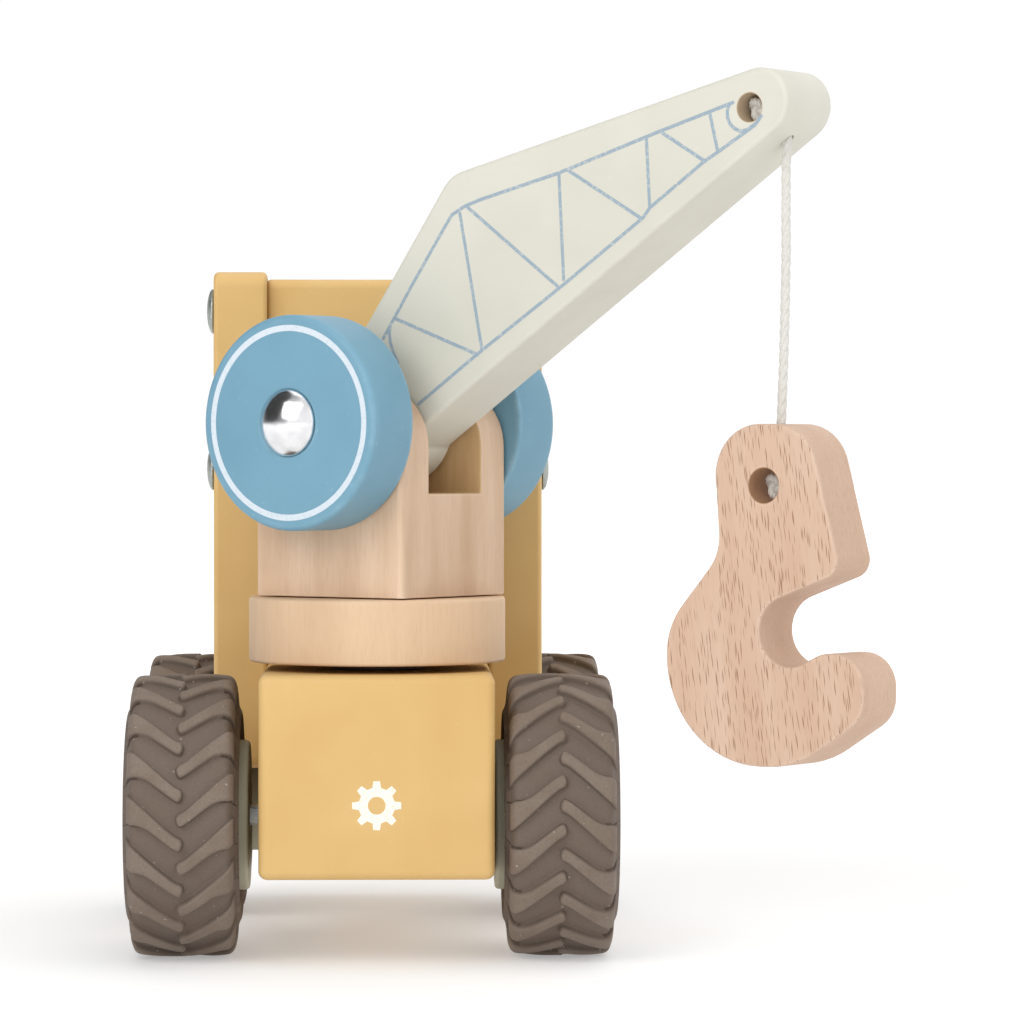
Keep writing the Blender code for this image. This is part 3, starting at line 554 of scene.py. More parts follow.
def corner_arc(before, here, after, radius):
    """Points of the arc of this radius that touches both sides of a corner."""
    corner = Vector(here)
    back = (Vector(before) - corner).normalized()
    ahead = (Vector(after) - corner).normalized()
    half = back.angle(ahead) / 2
    centre = corner + (back + ahead).normalized() * (radius / math.sin(half))
    start = corner + back * (radius / math.tan(half)) - centre
    end = corner + ahead * (radius / math.tan(half)) - centre
    first = math.atan2(start.y, start.x)
    sweep = (math.atan2(end.y, end.x) - first + math.pi) % (2 * math.pi) - math.pi
    return arc_points(centre, radius, first, first + sweep)


def rounded_outline(corners):
    """A closed outline from (x, y, radius) corners."""
    points = []
    for i, (x, y, radius) in enumerate(corners):
        before = corners[i - 1][:2]
        after = corners[(i + 1) % len(corners)][:2]
        points += corner_arc(before, (x, y), after, radius) if radius else [(x, y)]
    return points


def prism_mesh(outline, thickness, middle=0.0, bm=None):
    """A slab with its outline in XZ and its thickness along Y, added to the mesh if one is given."""
    if bm is None:
        bm = bmesh.new()
    near = [bm.verts.new((x, middle - thickness / 2, z)) for x, z in outline]
    far = [bm.verts.new((x, middle + thickness / 2, z)) for x, z in outline]
    bm.faces.new(near)
    bm.faces.new(far[::-1])
    for i in range(len(outline)):
        j = (i + 1) % len(outline)
        bm.faces.new((near[j], near[i], far[i], far[j]))
    return bm


def turned_mesh(profile, segments=96):
    """A solid turned about Z from a (radius, z) profile; a radius of 0 is on the axis."""
    bm = bmesh.new()
    rings = []
    for radius, z in profile:
        if radius == 0:
            rings.append([bm.verts.new((0, 0, z))] * segments)
            continue
        angles = [2 * math.pi * i / segments for i in range(segments)]
        rings.append([bm.verts.new((radius * math.cos(a), radius * math.sin(a), z)) for a in angles])
    last = len(rings) if profile[0][0] > 0 else len(rings) - 1
    for k in range(last):
        lower = rings[k]
        upper = rings[(k + 1) % len(rings)]
        for i in range(segments):
            j = (i + 1) % segments
            corners = list(dict.fromkeys((lower[i], lower[j], upper[j], upper[i])))
            if len(corners) > 2:
                bm.faces.new(corners)
    return bm


def cylinder_mesh(radius, length, segments):
    """A cylinder along Z, its middle at the origin."""
    half = length / 2
    return turned_mesh([(0, -half), (radius, -half), (radius, half), (0, half)], segments)


def link_object(name, mesh, matrix):
    obj = bpy.data.objects.new(name, mesh)
    obj.matrix_world = matrix
    bpy.context.scene.collection.objects.link(obj)
    return obj


def from_bmesh(name, bm, material, matrix):
    bmesh.ops.recalc_face_normals(bm, faces=bm.faces)
    mesh = bpy.data.meshes.new(name)
    bm.to_mesh(mesh)
    bm.free()
    if material:
        mesh.materials.append(material)
    return link_object(name, mesh, matrix)


def cutter(bm, matrix):
    return from_bmesh("cutter", bm, None, matrix)


def drill(radius, length, place, segments=48):
    return cutter(cylinder_mesh(radius, length, segments), place)


def round_edges(obj, radius, segments):
    bevel = obj.modifiers.new("edges", "BEVEL")
    bevel.width = radius
    bevel.segments = segments
    bevel.limit_method = "ANGLE"
    bevel.angle_limit = math.radians(40)


def finish_mesh(obj, edge, cutters=(), segments=4, cut_edge=0.4 * MM):
    """Rounds the edges, cuts the holes and breaks their edges, and leaves one plain, smooth mesh."""
    if edge:
        round_edges(obj, edge, segments)
    for tool in cutters:
        boolean = obj.modifiers.new("cut", "BOOLEAN")
        boolean.solver = "EXACT"
        boolean.object = tool
    if cutters and cut_edge:
        round_edges(obj, cut_edge, 2)
    weighted = obj.modifiers.new("normals", "WEIGHTED_NORMAL")
    weighted.keep_sharp = True
    obj.data.shade_smooth()
    bpy.context.view_layer.update()
    evaluated = obj.evaluated_get(bpy.context.evaluated_depsgraph_get())
    mesh = bpy.data.meshes.new_from_object(evaluated)
    obj.modifiers.clear()
    obj.data = mesh
    for tool in cutters:
        bpy.data.objects.remove(tool)


def smooth(obj, sharp=38):
    """Shades the piece smooth, apart from edges sharper than an angle in degrees."""
    obj.data.shade_smooth()
    obj.data.set_sharp_from_angle(angle=math.radians(sharp))
    return obj


def keep(obj, body, slot, *nodes):
    """Rides on its body and stands for its CAD nodes, which it hides; its slot is not used."""
    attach(obj, body)
    if nodes:
        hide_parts(*nodes)


def turned_piece(name, profile, look, place, body, slot, *nodes, segments=96, sharp=38):
    piece = from_bmesh(name, turned_mesh(profile, segments), look, place)
    keep(smooth(piece, sharp), body, slot, *nodes)


def shift(x, y, z):
    return Matrix.Translation((x, y, z))


def turn_x(angle):
    return Matrix.Rotation(angle, 4, "X")


def turn_y(angle):
    return Matrix.Rotation(angle, 4, "Y")


def turn_z(angle):
    return Matrix.Rotation(angle, 4, "Z")


# ---- chassis and cab


def make_chassis(truck, looks, axle_ys, slew_y):
    lo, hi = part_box("chassis_block")
    half = (hi.x - lo.x) / 2
    length = hi.y - lo.y
    outline = [(-half, lo.z), (half, lo.z), (half, hi.z), (-half, hi.z)]
    bm = prism_mesh(outline, length, length / 2)
    chassis = from_bmesh("chassis", bm, looks["yellow"], truck)
    tools = []
    for y in axle_ys:
        tools.append(drill(AXLE_BORE, 4 * half, truck @ shift(0, y, WHEEL_HEIGHT) @ turn_y(QUARTER)))
    tools.append(drill(BOLT_RADIUS, 2 * BOLT_DEPTH, truck @ shift(0, slew_y, hi.z)))
    finish_mesh(chassis, CHASSIS_EDGE, tools, 5)
    keep(chassis, "truck", "yellow_paint", "chassis_block")


def make_mark(truck, looks):
    """A small plain cog, printed in white on the chassis's rear face."""
    teeth = 8
    root, tip, hole = 0.74 * MARK_RADIUS, MARK_RADIUS, 0.36 * MARK_RADIUS
    outer = []
    for k in range(teeth):
        middle = 2 * math.pi * k / teeth
        for share, radius in ((-0.30, root), (-0.17, tip), (0.17, tip), (0.30, root)):
            angle = middle + share * 2 * math.pi / teeth
            outer.append((radius * math.cos(angle), radius * math.sin(angle)))
    bm = prism_mesh(outer, 2 * PRINT_THICKNESS)
    place = truck @ shift(0, 0, MARK_HEIGHT)
    mark = from_bmesh("chassis_mark", bm, looks["mark_ink"], place)
    finish_mesh(mark, 0, [drill(hole, 1 * MM, place @ turn_x(QUARTER))], cut_edge=0)
    keep(mark, "truck", "yellow_paint")


def make_board(name, node, corners, thickness, place, looks, edge=BOARD_EDGE, tools=()):
    """A cab board from its side view."""
    bm = prism_mesh(rounded_outline(scaled(corners)), thickness)
    board = from_bmesh(name, bm, looks["yellow"], place @ turn_z(QUARTER))
    finish_mesh(board, edge, tools, cut_edge=edge)
    keep(board, "truck", "yellow_paint", node)


def make_cab(truck, looks, front_axle_y):
    lo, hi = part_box("chassis_block")
    width = hi.x - lo.x
    for node, corners in (("cab_rear_wall", WALL_CORNERS), ("cab_roof", ROOF_CORNERS),
                          ("cab_bonnet", BONNET_CORNERS)):
        make_board(node + "_board", node, corners, width, truck, looks)
    thickness = PANEL_THICKNESS + GAP - PANEL_SEAM
    for side, side_name in SIDES:
        node = f"cab_side_{side_name}"
        place = truck @ shift(side * (width / 2 + PANEL_SEAM + thickness / 2), 0, 0)
        window = prism_mesh(rounded_outline(scaled(WINDOW_CORNERS)), 3 * PANEL_THICKNESS)
        arch_place = place @ shift(0, front_axle_y, WHEEL_HEIGHT) @ turn_y(QUARTER)
        tools = [cutter(window, place @ turn_z(QUARTER)),
                 drill(WHEEL_ARCH_RADIUS, 3 * PANEL_THICKNESS, arch_place, 96)]
        make_board(node + "_panel", node, PANEL_CORNERS, thickness, place, looks, PANEL_EDGE, tools)
        face = side * (width / 2 + 2 * GAP + PANEL_THICKNESS)
        for key, (y, z) in SCREW_PLACES.items():
            screw = f"cab_screw_{side_name}_{key}"
            make_screw(screw, truck @ shift(face, y * MM, z * MM) @ turn_y(side * QUARTER), looks)


def make_screw(name, place, looks):
    """A domed screw head with a thin flat rim, and its shank in the panel."""
    chamfer = 0.15 * MM
    profile = [(0, -SCREW_SHANK_LENGTH), (SCREW_SHANK_RADIUS, -SCREW_SHANK_LENGTH),
               (SCREW_SHANK_RADIUS, 0), (SCREW_HEAD_RADIUS - chamfer, 0), (SCREW_HEAD_RADIUS, chamfer)]
    for i in range(9):
        angle = QUARTER * i / 9
        rise = (SCREW_HEAD_HEIGHT - SCREW_RIM) * math.sin(angle)
        profile.append((SCREW_HEAD_RADIUS * math.cos(angle), SCREW_RIM + rise))
    profile.append((0, SCREW_HEAD_HEIGHT))
    turned_piece(name + "_head", profile, looks["screw"], place, "truck", "steel", name,
                 segments=48, sharp=50)


# ---- wheels


def resample(points, count):
    """Evenly spaced points on the smooth curve through a list of points."""
    points = [Vector(p) for p in points]
    dense = []
    for before, start, end, after in zip(points[:1] + points, points, points[1:],
                                         points[2:] + points[-1:]):
        for k in range(10):
            t = k / 10
            dense.append(0.5 * (2 * start + (end - before) * t
                                + (2 * before - 5 * start + 4 * end - after) * t ** 2
                                + (3 * start - before - 3 * end + after) * t ** 3))
    dense.append(points[-1])
    lengths = np.concatenate([[0.0], np.cumsum([(b - a).length for a, b in zip(dense, dense[1:])])])
    wanted = np.linspace(0, lengths[-1], count)
    columns = [np.interp(wanted, lengths, [p[k] for p in dense]) for k in range(len(dense[0]))]
    return [Vector(p) for p in zip(*columns)]


def section_rows():
    """The tyre's section from bead to bead: rows of (z, radius, outward normal)."""
    half = resample(scaled(CARCASS), 46)
    # The lugs' round tips need finer rows near the middle of the tread
    fine = [Vector((i * 0.3 * MM, half[0].y)) for i in range(1, 8)]
    half = [half[0]] + fine + [p for p in half[1:] if p.x > 2.4 * MM or p.y < 30 * MM]
    rows = [Vector((-p.x, p.y)) for p in half[:0:-1]] + half
    normals = []
    for i in range(len(rows)):
        along = rows[min(i + 1, len(rows) - 1)] - rows[max(i - 1, 0)]
        normals.append(Vector((-along.y, along.x)).normalized())
    return rows, normals


def ease(value):
    """A smooth step from 0 to 1."""
    value = min(max(value, 0.0), 1.0)
    return value * value * (3 - 2 * value)


def lug_columns(out):
    """Offsets across a lug from its flared side to its straight side, each with that side's reach."""
    out = min(max(out, 0.0), 11.6 * MM)
    flare = max(out - 7 * MM, 0.0) / (5 * MM)
    flared = 1.85 * MM + 0.13 * out + 2.2 * MM * flare ** 2
    reaches = [flared if share < 0 else LUG_TIP_RADIUS for share in LUG_COLUMNS]
    return [(share * reach, reach) for share, reach in zip(LUG_COLUMNS, reaches)]


def lug_rise(out, across, reach, radius):
    """Height of a lug at one point: its walls, its round tip, and its fade down the sidewall."""
    wall = ease((reach - abs(across)) / (0.6 * MM))
    round_off = LUG_TIP_RADIUS - math.sqrt(max(LUG_TIP_RADIUS ** 2 - across ** 2, 0.0))
    front = ease((out + LUG_TIP_PAST_MIDDLE - round_off) / (0.6 * MM)) if out < 3 * MM else 1.0
    fade = ease((radius - 26.4 * MM) / (4.2 * MM))
    return wall * front * fade


def tyre_mesh(name):
    """A tyre about Z, its outer side up. The lugs' tips trail the shoulders by the lean."""
    rows, normals = section_rows()
    pitch = 2 * math.pi / LUGS
    verts, heights = [], []
    for point, normal in zip(rows, normals):
        z, radius = point
        lean = -LUG_LEAN * (1 - min(math.sqrt(z * z + MM ** 2), TREAD_HALF) / TREAD_HALF)
        lugs = (lug_columns(z), lug_columns(-z))
        for k in range(LUGS):
            middle = [k * pitch + lean, (k + 0.5) * pitch + lean, (k + 1) * pitch + lean]
            for row in (0, 1):
                row_out = z if row == 0 else -z
                for across, reach in lugs[row]:
                    rise = lug_rise(row_out, across, reach, radius) if row_out > -1.5 * MM else 0.0
                    heights.append(rise)
                    angle = middle[row] + across / radius
                    place = point + Vector((0.25 * normal.x, 1.0)) * LUG_HEIGHT * rise
                    verts.append((place.y * math.cos(angle), place.y * math.sin(angle), place.x))
                end = middle[row] + lugs[row][-1][0] / radius
                start = middle[row + 1] + lugs[1 - row][0][0] / radius
                for share in GROOVE_COLUMNS:
                    angle = end + (start - end) * share
                    heights.append(0.0)
                    verts.append((radius * math.cos(angle), radius * math.sin(angle), z))
    around = len(verts) // len(rows)
    faces = []
    for i in range(len(rows)):
        j = (i + 1) % len(rows)
        for k in range(around):
            m = (k + 1) % around
            faces.append((i * around + k, i * around + m, j * around + m, j * around + k))
    mesh = bpy.data.meshes.new(name)
    mesh.from_pydata(verts, [], faces)
    layer = mesh.attributes.new("lug_height", "FLOAT", "POINT")
    layer.data.foreach_set("value", heights)
    bm = bmesh.new()
    bm.from_mesh(mesh)
    bmesh.ops.recalc_face_normals(bm, faces=bm.faces)
    bm.to_mesh(mesh)
    bm.free()
    return mesh


def hub_profile():
    """The hub's section: a rounded flange behind the tyre, a dished face and a boss."""
    bore, rim, inner, outer = (value / MM for value in (AXLE_BORE, HUB_RADIUS, HUB_INNER, HUB_OUTER))
    lip = outer + 1.5
    points = [(bore, inner), (rim - 1.0, inner)]
    points += arc_points((rim - 1.0, inner + 1.0), 1.0, -QUARTER, 0, LIP_STEP)
    points += arc_points((rim - 0.8, lip - 0.8), 0.8, 0, QUARTER, LIP_STEP)
    points += [(rim - 2.2, lip), (rim - 2.7, lip - 0.4), (rim - 3.3, outer - 0.8),
               (rim - 3.9, outer - 1.2), (10.2, outer - 1.2), (9.6, outer - 0.9), (9.3, outer - 0.2),
               (9.0, outer), (bore, outer)]
    return scaled(points)


def cap_profile(base):
    """A shallow domed push-on cap with a thin rolled rim, open behind for the axle."""
    well = base + CAP_WELL
    profile = [(0, well), (AXLE_BORE, well), (AXLE_BORE, base), (CAP_RADIUS - 0.3 * MM, base),
               (CAP_RADIUS, base + 0.3 * MM), (CAP_RADIUS, base + 0.6 * MM)]
    shoulder = CAP_RADIUS - 0.25 * MM
    for i in range(14):
        share = 1 - i / 14
        rise = (CAP_HEIGHT - 1.0 * MM) * (1 - share ** 2.3)
        profile.append((shoulder * share, base + 1.0 * MM + rise))
    profile.append((0, base + CAP_HEIGHT))
    return profile


def make_wheels(looks):
    """Hubs, caps and tyres on both axles; all four tyres share one mesh."""
    tyre = tyre_mesh("tyre")
    tyre.materials.append(looks["rubber"])
    tyre.shade_smooth()
    for label in ("rear", "front"):
        body = f"{label}_wheels"
        for side, side_name in SIDES:
            turn = shift(*joint_place(f"{label}_axle_spin")) @ turn_y(side * QUARTER)
            name = f"{label}_{side_name}"
            turned_piece(name + "_hub", hub_profile(), looks["hub"], turn, body, "hub_green",
                         f"{label}_hub_{side_name}")
            turned_piece(name + "_cap", cap_profile(HUB_OUTER + GAP), looks["chrome"], turn, body,
                         "chrome", f"{label}_cap_{side_name}", segments=72)
            fitted = link_object(name + "_tyre", tyre, turn @ shift(0, 0, TYRE_CENTRES[label]))
            keep(fitted, body, "tyre_rubber", f"{label}_tyre_{side_name}")


# ---- turntable, turret and jib


def make_turntable(turret, looks):
    lo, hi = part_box("turntable_disc")
    edge = TURNTABLE_EDGE
    profile = [(BOLT_RADIUS, lo.z)]
    profile += arc_points((TURNTABLE_RADIUS - edge, lo.z + edge), edge, -QUARTER, 0, LIP_STEP)
    profile += arc_points((TURNTABLE_RADIUS - edge, hi.z - edge), edge, 0, QUARTER, LIP_STEP)
    profile.append((BOLT_RADIUS, hi.z))
    turned_piece("turntable", profile, looks["turntable"], turret, "turret", "turntable_wood",
                 "turntable_disc", segments=128)


def make_turret(turret, looks):
    """The slotted block. It is made too long and its spare foot is cut off, so that end stays sharp."""
    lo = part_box("turret_block")[0]
    near, far = TURRET_OFFSET - TURRET_SIZE[0] / 2, TURRET_OFFSET + TURRET_SIZE[0] / 2
    bottom = lo.z / MM - TURRET_SPARE
    corners = [(near, bottom, 0), (far, bottom, 0), (far, TURRET_TOP, TURRET_CORNER),
               (near, TURRET_TOP, TURRET_CORNER)]
    bm = prism_mesh(rounded_outline(scaled(corners)), TURRET_SIZE[1] * MM)
    block = from_bmesh("turret", bm, looks["turret"], turret)
    slot = bmesh.new()
    bmesh.ops.create_cube(slot, size=1.0)
    height = 2 * (TURRET_TOP * MM - SLOT_FLOOR)
    bmesh.ops.scale(slot, vec=(THROUGH, SLOT_WIDTH, height), verts=slot.verts)
    foot = bmesh.new()
    bmesh.ops.create_cube(foot, size=THROUGH)
    recess_depth = SLOT_FLOOR - BOLT_RECESS_FLOOR
    tools = [
        cutter(foot, turret @ shift(0, 0, lo.z - THROUGH / 2)),
        cutter(slot, turret @ shift(0, 0, SLOT_FLOOR + height / 2)),
        drill(AXLE_BORE, THROUGH, turret @ shift(*LUFF) @ turn_x(QUARTER)),
        drill(BOLT_RADIUS, THROUGH, turret),
        drill(BOLT_RECESS_RADIUS, 2 * recess_depth, turret @ shift(0, 0, SLOT_FLOOR)),
    ]
    finish_mesh(block, TURRET_EDGE, tools, 5)
    keep(block, "turret", "turret_wood", "turret_block")


def jib_outline():
    """The jib's side view: round tail about the axle, knee, and nose."""
    axle = (LUFF.x / MM, LUFF.z / MM)
    tail = arc_points(axle, JIB_TAIL_RADIUS, *JIB_TAIL_ANGLES)
    nose = corner_arc(tail[-1], JIB_NOSE[:2], JIB_KNEE[:2], JIB_NOSE[2])
    knee = corner_arc(JIB_NOSE[:2], JIB_KNEE[:2], tail[0], JIB_KNEE[2])
    return scaled(tail + nose + knee)


def make_jib(turret, looks):
    jib = from_bmesh("jib_arm", prism_mesh(jib_outline(), JIB_THICKNESS), looks["cream"], turret)
    along = CORD_MOUTH - KNOT_HOLE
    lean = turn_y(math.atan2(along.x, along.z))
    tools = [
        drill(AXLE_BORE, THROUGH / 2, turret @ shift(*LUFF) @ turn_x(QUARTER)),
        drill(KNOT_HOLE_RADIUS, THROUGH / 2, turret @ shift(*KNOT_HOLE) @ turn_x(QUARTER)),
        drill(CORD_HOLE_RADIUS, 2 * along.length, turret @ shift(*CORD_MOUTH) @ lean),
    ]
    finish_mesh(jib, JIB_EDGE, tools)
    keep(jib, "jib", "cream_paint", "jib")
    for side, side_name in SIDES:
        make_lattice(side, side_name, turret, looks)


def add_stroke(bm, start, end, middle):
    """One printed stroke with round ends, as a thin closed plate in XZ."""
    start, end = Vector(start) * MM, Vector(end) * MM
    heading = math.atan2(end.y - start.y, end.x - start.x)
    half = PRINT_WIDTH / 2
    step = math.radians(30)
    outline = arc_points(end, half, heading - QUARTER, heading + QUARTER, step)
    outline += arc_points(start, half, heading + QUARTER, heading + 3 * QUARTER, step)
    prism_mesh(outline, 2 * PRINT_THICKNESS, middle, bm)


def make_lattice(side, side_name, turret, looks):
    """The printed girder lines on one side of the jib, as one thin plate of ink.

    The Boolean that merges the strokes needs a second solid, which is put far off and dropped again.
    """
    bm = bmesh.new()
    middle = side * JIB_THICKNESS / 2
    for line in (UPPER_CHORD, HOLE_LINE, LOWER_CHORD, LOWER_CHORD_REST, TAIL_LINE, *WEBS):
        for start, end in zip(line, line[1:]):
            add_stroke(bm, start, end, middle)
    lattice = from_bmesh(f"jib_lattice_{side_name}", bm, looks["line_ink"], turret)
    far_solid = cutter(prism_mesh([(FAR, FAR), (FAR + MM, FAR), (FAR + MM, FAR + MM)], MM), Matrix())
    merge = lattice.modifiers.new("merge", "BOOLEAN")
    merge.operation = "UNION"
    merge.solver = "EXACT"
    merge.use_self = True
    merge.object = far_solid
    finish_mesh(lattice, 0)
    bpy.data.objects.remove(far_solid)
    bm = bmesh.new()
    bm.from_mesh(lattice.data)
    bmesh.ops.delete(bm, geom=[v for v in bm.verts if v.co.x > FAR / 2], context="VERTS")
    bm.to_mesh(lattice.data)
    bm.free()
    keep(lattice, "jib", "cream_paint")


def make_hand_wheels(turret, looks):
    rim, edge, back = HAND_WHEEL_RADIUS, HAND_WHEEL_EDGE, HAND_WHEEL_BACK_EDGE
    bore, face = AXLE_BORE / MM, HAND_WHEEL_OUTER
    recess = face - CAP_RECESS_DEPTH
    step = math.radians(13)
    profile = [(bore, HAND_WHEEL_INNER)]
    profile += arc_points((rim - back, HAND_WHEEL_INNER + back), back, -QUARTER, 0, step)
    profile += arc_points((rim - edge, face - edge), edge, 0, QUARTER, step)
    profile += [(CAP_RECESS_RADIUS, face), (CAP_RECESS_RADIUS, recess), (bore, recess)]
    inner, outer = RING_RADII
    thin = PRINT_THICKNESS / MM
    ring = [(inner, face - thin), (outer, face - thin), (outer, face + thin), (inner, face + thin)]
    for side, side_name in SIDES:
        place = turret @ shift(*LUFF) @ turn_x(-side * QUARTER)
        name = f"hand_wheel_{side_name}"
        turned_piece(name + "_disc", scaled(profile), looks["blue"], place, "jib", "blue_paint", name,
                     segments=128)
        turned_piece(name + "_ring", scaled(ring), looks["ring_ink"], place, "jib", "blue_paint",
                     segments=128)
        turned_piece(name + "_cap", cap_profile(recess * MM + GAP), looks["chrome"], place, "jib",
                     "chrome", f"hand_wheel_cap_{side_name}", segments=72)


# ---- cord and hook


def turned_point(centre, side, up, angle, radius):
    """A point round a centre, in the plane of two directions."""
    return centre + (side * math.cos(angle) + up * math.sin(angle)) * radius


def ring_round(bm, centre, side, up, radius, count):
    """A ring of vertices round a centre."""
    angles = [2 * math.pi * k / count for k in range(count)]
    return [bm.verts.new(turned_point(centre, side, up, angle, radius)) for angle in angles]


def join_rings(bm, rings):
    for lower, upper in zip(rings, rings[1:]):
        for k in range(len(lower)):
            m = (k + 1) % len(lower)
            bm.faces.new((lower[k], lower[m], upper[m], upper[k]))


def strand_mesh(bm, centres, radius):
    """A tube with closed ends along a line of points."""
    rings = []
    side = None
    for i, centre in enumerate(centres):
        along = (centres[min(i + 1, len(centres) - 1)] - centres[max(i - 1, 0)]).normalized()
        side = along.orthogonal() if side is None else side - along * side.dot(along)
        side.normalize()
        rings.append(ring_round(bm, centre, side, along.cross(side), radius, 14))
    join_rings(bm, rings)
    bm.faces.new(rings[0][::-1])
    bm.faces.new(rings[-1])


def run_length(route):
    return sum((b - a).length for a, b in zip(route, route[1:]))


def twist_mesh(route, travelled):
    """A laid cord along a route: strands twisted round each other, in step with the cord before it."""
    count = max(8, round(run_length(route) / (0.4 * MM)))
    points = [Vector((p.x, 0, p.y)) for p in resample([(v.x, v.z) for v in route], count)]
    bm = bmesh.new()
    for k in range(CORD_STRANDS):
        centres = []
        distance = travelled
        for i, point in enumerate(points):
            if i:
                distance += (point - points[i - 1]).length
            ahead = (points[min(i + 1, count - 1)] - points[max(i - 1, 0)]).normalized()
            side = Vector((0, 1, 0))
            angle = 2 * math.pi * (k / CORD_STRANDS + distance / CORD_LAY)
            centres.append(turned_point(point, side, ahead.cross(side), angle, STRAND_OFFSET))
        strand_mesh(bm, centres, STRAND_RADIUS)
    return bm


def loop_frames(centres):
    """At each point of a closed line, two directions square to the line."""
    frames = []
    for i in range(len(centres)):
        along = (centres[(i + 1) % len(centres)] - centres[i - 1]).normalized()
        side = along.cross(Vector((0.1, 1, 0.2))).normalized()
        frames.append((side, along.cross(side)))
    return frames


def knot_mesh(size):
    """An overhand knot drawn tight: a trefoil of the same cord, its strands twisted."""
    centres = []
    for i in range(KNOT_STEPS):
        t = 2 * math.pi * i / KNOT_STEPS
        centres.append(Vector((math.sin(t) + 2 * math.sin(2 * t), -0.85 * math.sin(3 * t),
                               math.cos(t) - 2 * math.cos(2 * t))) * (size / 3))
    bm = bmesh.new()
    for k in range(CORD_STRANDS):
        strand = []
        for i, (side, up) in enumerate(loop_frames(centres)):
            angle = 2 * math.pi * (k / CORD_STRANDS + KNOT_TWIST * i / KNOT_STEPS)
            strand.append(turned_point(centres[i], side, up, angle, KNOT_STRAND_OFFSET))
        rings = []
        for centre, (side, up) in zip(strand, loop_frames(strand)):
            rings.append(ring_round(bm, centre, side, up, KNOT_STRAND_RADIUS, 8))
        join_rings(bm, rings + rings[:1])
    return bm


def make_cord(turret, looks):
    """The cord in lengths that meet between its joints, its ends knotted in the jib and the hook."""
    route = [Vector((x, 0, z)) for x, z in CORD_ROUTE]
    inside = (CORD_MOUTH - KNOT_HOLE).normalized()
    in_jib = [KNOT_HOLE + inside * 2.6 * MM, KNOT_HOLE + inside * 5 * MM, CORD_MOUTH - inside * 1 * MM]
    seams = [Vector((x, 0, z)) for x, z in CORD_SEAMS]
    hook_mouth = Vector((HOOK_HOLE.x, 0, HOOK_TOP))
    down = Vector((0, 0, -MM))
    main = [seams[1]] + route[4:] + [hook_mouth + down * 0.9]
    tail = [hook_mouth + down, hook_mouth + down * 5, HOOK_HOLE - down * 2.8]
    laid = []
    travelled = 0.0
    for name, run in (("cord_top", in_jib + route[:3] + seams[:1]),
                      ("cord_middle", [seams[0], route[3], seams[1]]),
                      ("cord_main", main), ("cord_tail", tail)):
        piece = from_bmesh(name, twist_mesh(run, travelled), looks["cord"], turret)
        smooth(piece, 60)
        travelled += run_length(run)
        laid.append(piece)
    cord_top, cord_middle, cord_main, cord_tail = laid
    jib_knot = from_bmesh("knot_in_jib", knot_mesh(2.45 * MM), looks["cord"],
                          turret @ shift(*KNOT_HOLE) @ shift(0, -5.4 * MM, 0))
    hook_knot = from_bmesh("knot_in_hook", knot_mesh(2.6 * MM), looks["cord"],
                           turret @ shift(*HOOK_HOLE) @ shift(0, -1.5 * MM, 0))
    keep(smooth(jib_knot, 60), "jib", "cord", "jib_knot")
    keep(smooth(hook_knot, 60), "hook", "cord", "hook_knot")
    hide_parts("cord_in_jib", "cord_bend")
    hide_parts("cord_upper")
    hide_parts("hoist_cord")
    keep(cord_tail, "hook", "cord", "cord_in_hook")
    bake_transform(cord_top)
    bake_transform(cord_middle)
    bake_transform(cord_main)


def make_hook(turret, looks):
    outline = rounded_outline(scaled(HOOK_CORNERS))
    hook = from_bmesh("hook_block", prism_mesh(outline, HOOK_THICKNESS), looks["beech"], turret)
    depth = HOOK_TOP - HOOK_HOLE.z
    tools = [
        drill(HOOK_HOLE_RADIUS, THROUGH / 2, turret @ shift(*HOOK_HOLE) @ turn_x(QUARTER)),
        drill(CORD_HOLE_RADIUS, 2 * depth, turret @ shift(HOOK_HOLE.x, 0, HOOK_TOP)),
    ]
    finish_mesh(hook, HOOK_EDGE, tools)
    keep(hook, "hook", "beech", "hook")


# ---- stage


def make_camera(truck):
    data = bpy.data.cameras.new("camera")
    data.lens = CAMERA_LENS
    data.sensor_width = 36
    data.clip_start = 0.05
    camera = bpy.data.objects.new("camera", data)
    camera.location = truck @ CAMERA_PLACE
    camera.rotation_euler = (QUARTER + CAMERA_PITCH, 0, -CAMERA_YAW)
    bpy.context.scene.collection.objects.link(camera)
    bpy.context.scene.camera = camera


def make_floor():
    bm = bmesh.new()
    bmesh.ops.create_circle(bm, cap_ends=True, segments=96, radius=14)
    material, tree, shader = new_material("floor", 0.9, specular=0.1)
    tone = noise(tree, coordinates(tree), 1.5, 2.0)
    pale = mix_colours(tree, tone, (0.68, 0.68, 0.68, 1.0), (0.70, 0.70, 0.70, 1.0))
    set_colour(tree, shader, pale)
    distance = vector_node(tree, "LENGTH", own_place(tree))
    # Painted light: the floor glows, weakly near the toy and more far off, so it reads white out to the
    # horizon, lightens the toy's shadow and lights the toy from below
    shader.inputs["Emission Color"].default_value = (1.0, 1.0, 1.0, 1.0)
    tree.links.new(between(tree, distance, 0.3, 2.5, 0.33, 0.75), shader.inputs["Emission Strength"])
    floor = from_bmesh("floor", bm, material, shift(0, 0, -0.1 * MM))


def add_light(name, place, size, power):
    """A soft rectangular lamp that looks at the toy."""
    data = bpy.data.lights.new(name, "AREA")
    data.shape = "RECTANGLE"
    data.size, data.size_y = size
    data.energy = power
    lamp = bpy.data.objects.new(name, data)
    lamp.location = place
    lamp.rotation_euler = (Vector(place) - Vector((0, 0, 0.1))).to_track_quat("Z", "Y").to_euler()
    bpy.context.scene.collection.objects.link(lamp)


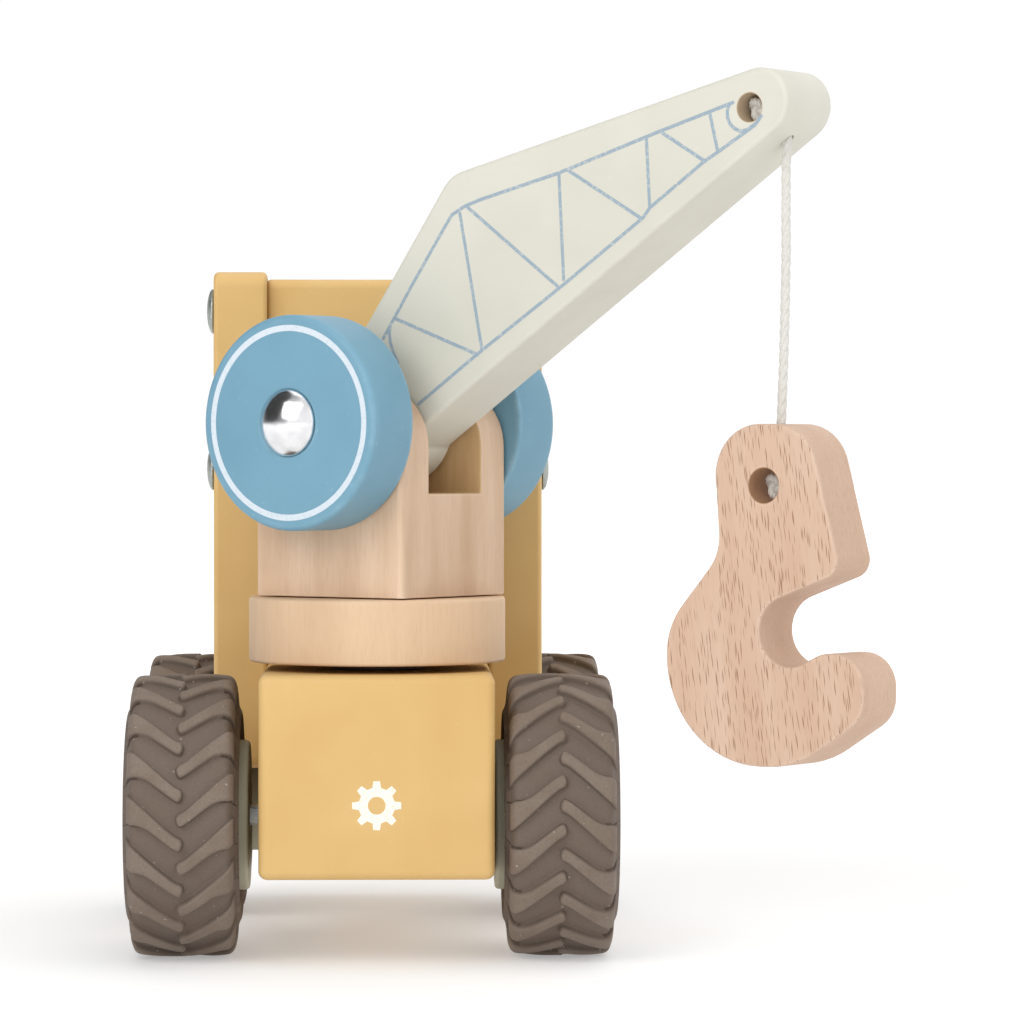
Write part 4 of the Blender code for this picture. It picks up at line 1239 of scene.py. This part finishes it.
def make_lights():
    """White studio surroundings with one dark corner, high on the left, and soft lights in front."""
    world = bpy.data.worlds.new("studio")
    bpy.context.scene.world = world
    world.use_nodes = True
    tree = world.node_tree
    around = add_node(tree, "TexCoord").outputs["Generated"]
    corner = Vector(DARK_CORNER).normalized()
    dark = between(tree, vector_node(tree, "DOT_PRODUCT", around, corner), 0.42, 0.85)
    tone = mix_colours(tree, dark, (1.02, 1.02, 1.02, 1.0), (0.05, 0.05, 0.05, 1.0))
    tree.links.new(tone, tree.nodes["Background"].inputs["Color"])
    add_light("key", (-1.1, -1.35, 1.15), (1.5, 1.5), 20.0)
    add_light("fill", (1.3, -1.0, 0.7), (1.0, 1.2), 1.0)
    add_light("top", (0.0, 0.3, 1.9), (1.6, 1.6), 8.0)
    bpy.context.scene.view_settings.view_transform = "Standard"


# ---- main

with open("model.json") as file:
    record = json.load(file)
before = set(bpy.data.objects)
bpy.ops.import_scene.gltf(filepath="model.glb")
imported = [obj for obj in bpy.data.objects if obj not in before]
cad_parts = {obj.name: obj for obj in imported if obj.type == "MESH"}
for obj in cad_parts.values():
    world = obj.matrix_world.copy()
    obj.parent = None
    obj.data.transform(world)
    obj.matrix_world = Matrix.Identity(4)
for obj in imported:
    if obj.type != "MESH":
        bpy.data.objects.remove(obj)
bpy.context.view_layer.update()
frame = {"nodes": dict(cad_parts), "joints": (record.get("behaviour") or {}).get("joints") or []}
JOINTS = {joint["name"]: joint for joint in frame["joints"]}


def joint_place(name):
    return Vector(JOINTS[name]["pos_m"])


WHEEL_HEIGHT = joint_place("rear_axle_spin").z


def dress_hidden_pieces(looks):
    """The pieces that keep their CAD shape: axles, bolt, and the washer, in dark tyre rubber as painted
    shade in the gap under the turntable.
    """
    for node in ("rear_axle", "front_axle", "luff_axle", "slew_bolt", "slew_washer"):
        # Painted shade: the washer is dark so that it passes for the shaded gap under the turntable
        name, slot = ("rubber", "tyre_rubber") if node == "slew_washer" else ("steel", "steel")
        part = frame["nodes"][node]
        part.data.materials.clear()
        part.data.materials.append(looks[name])


def main():
    lo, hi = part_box("chassis_block")
    truck = shift((lo.x + hi.x) / 2, lo.y, 0)
    slew = joint_place("turret_turn")
    jib_way = JOINTS["cord_sway"]["axis"]
    turret = shift(slew.x, slew.y, 0) @ turn_z(math.atan2(jib_way[1], jib_way[0]))
    make_camera(truck)
    looks = make_materials()
    make_cord(turret, looks)
    rear_y, front_y = (joint_place(f"{end}_axle_spin").y - lo.y for end in ("rear", "front"))
    make_chassis(truck, looks, (rear_y, front_y), slew.y - lo.y)
    make_mark(truck, looks)
    make_cab(truck, looks, front_y)
    make_wheels(looks)
    make_turntable(turret, looks)
    make_turret(turret, looks)
    make_jib(turret, looks)
    make_hand_wheels(turret, looks)
    make_hook(turret, looks)
    dress_hidden_pieces(looks)
    make_floor()
    make_lights()
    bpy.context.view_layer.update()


main()
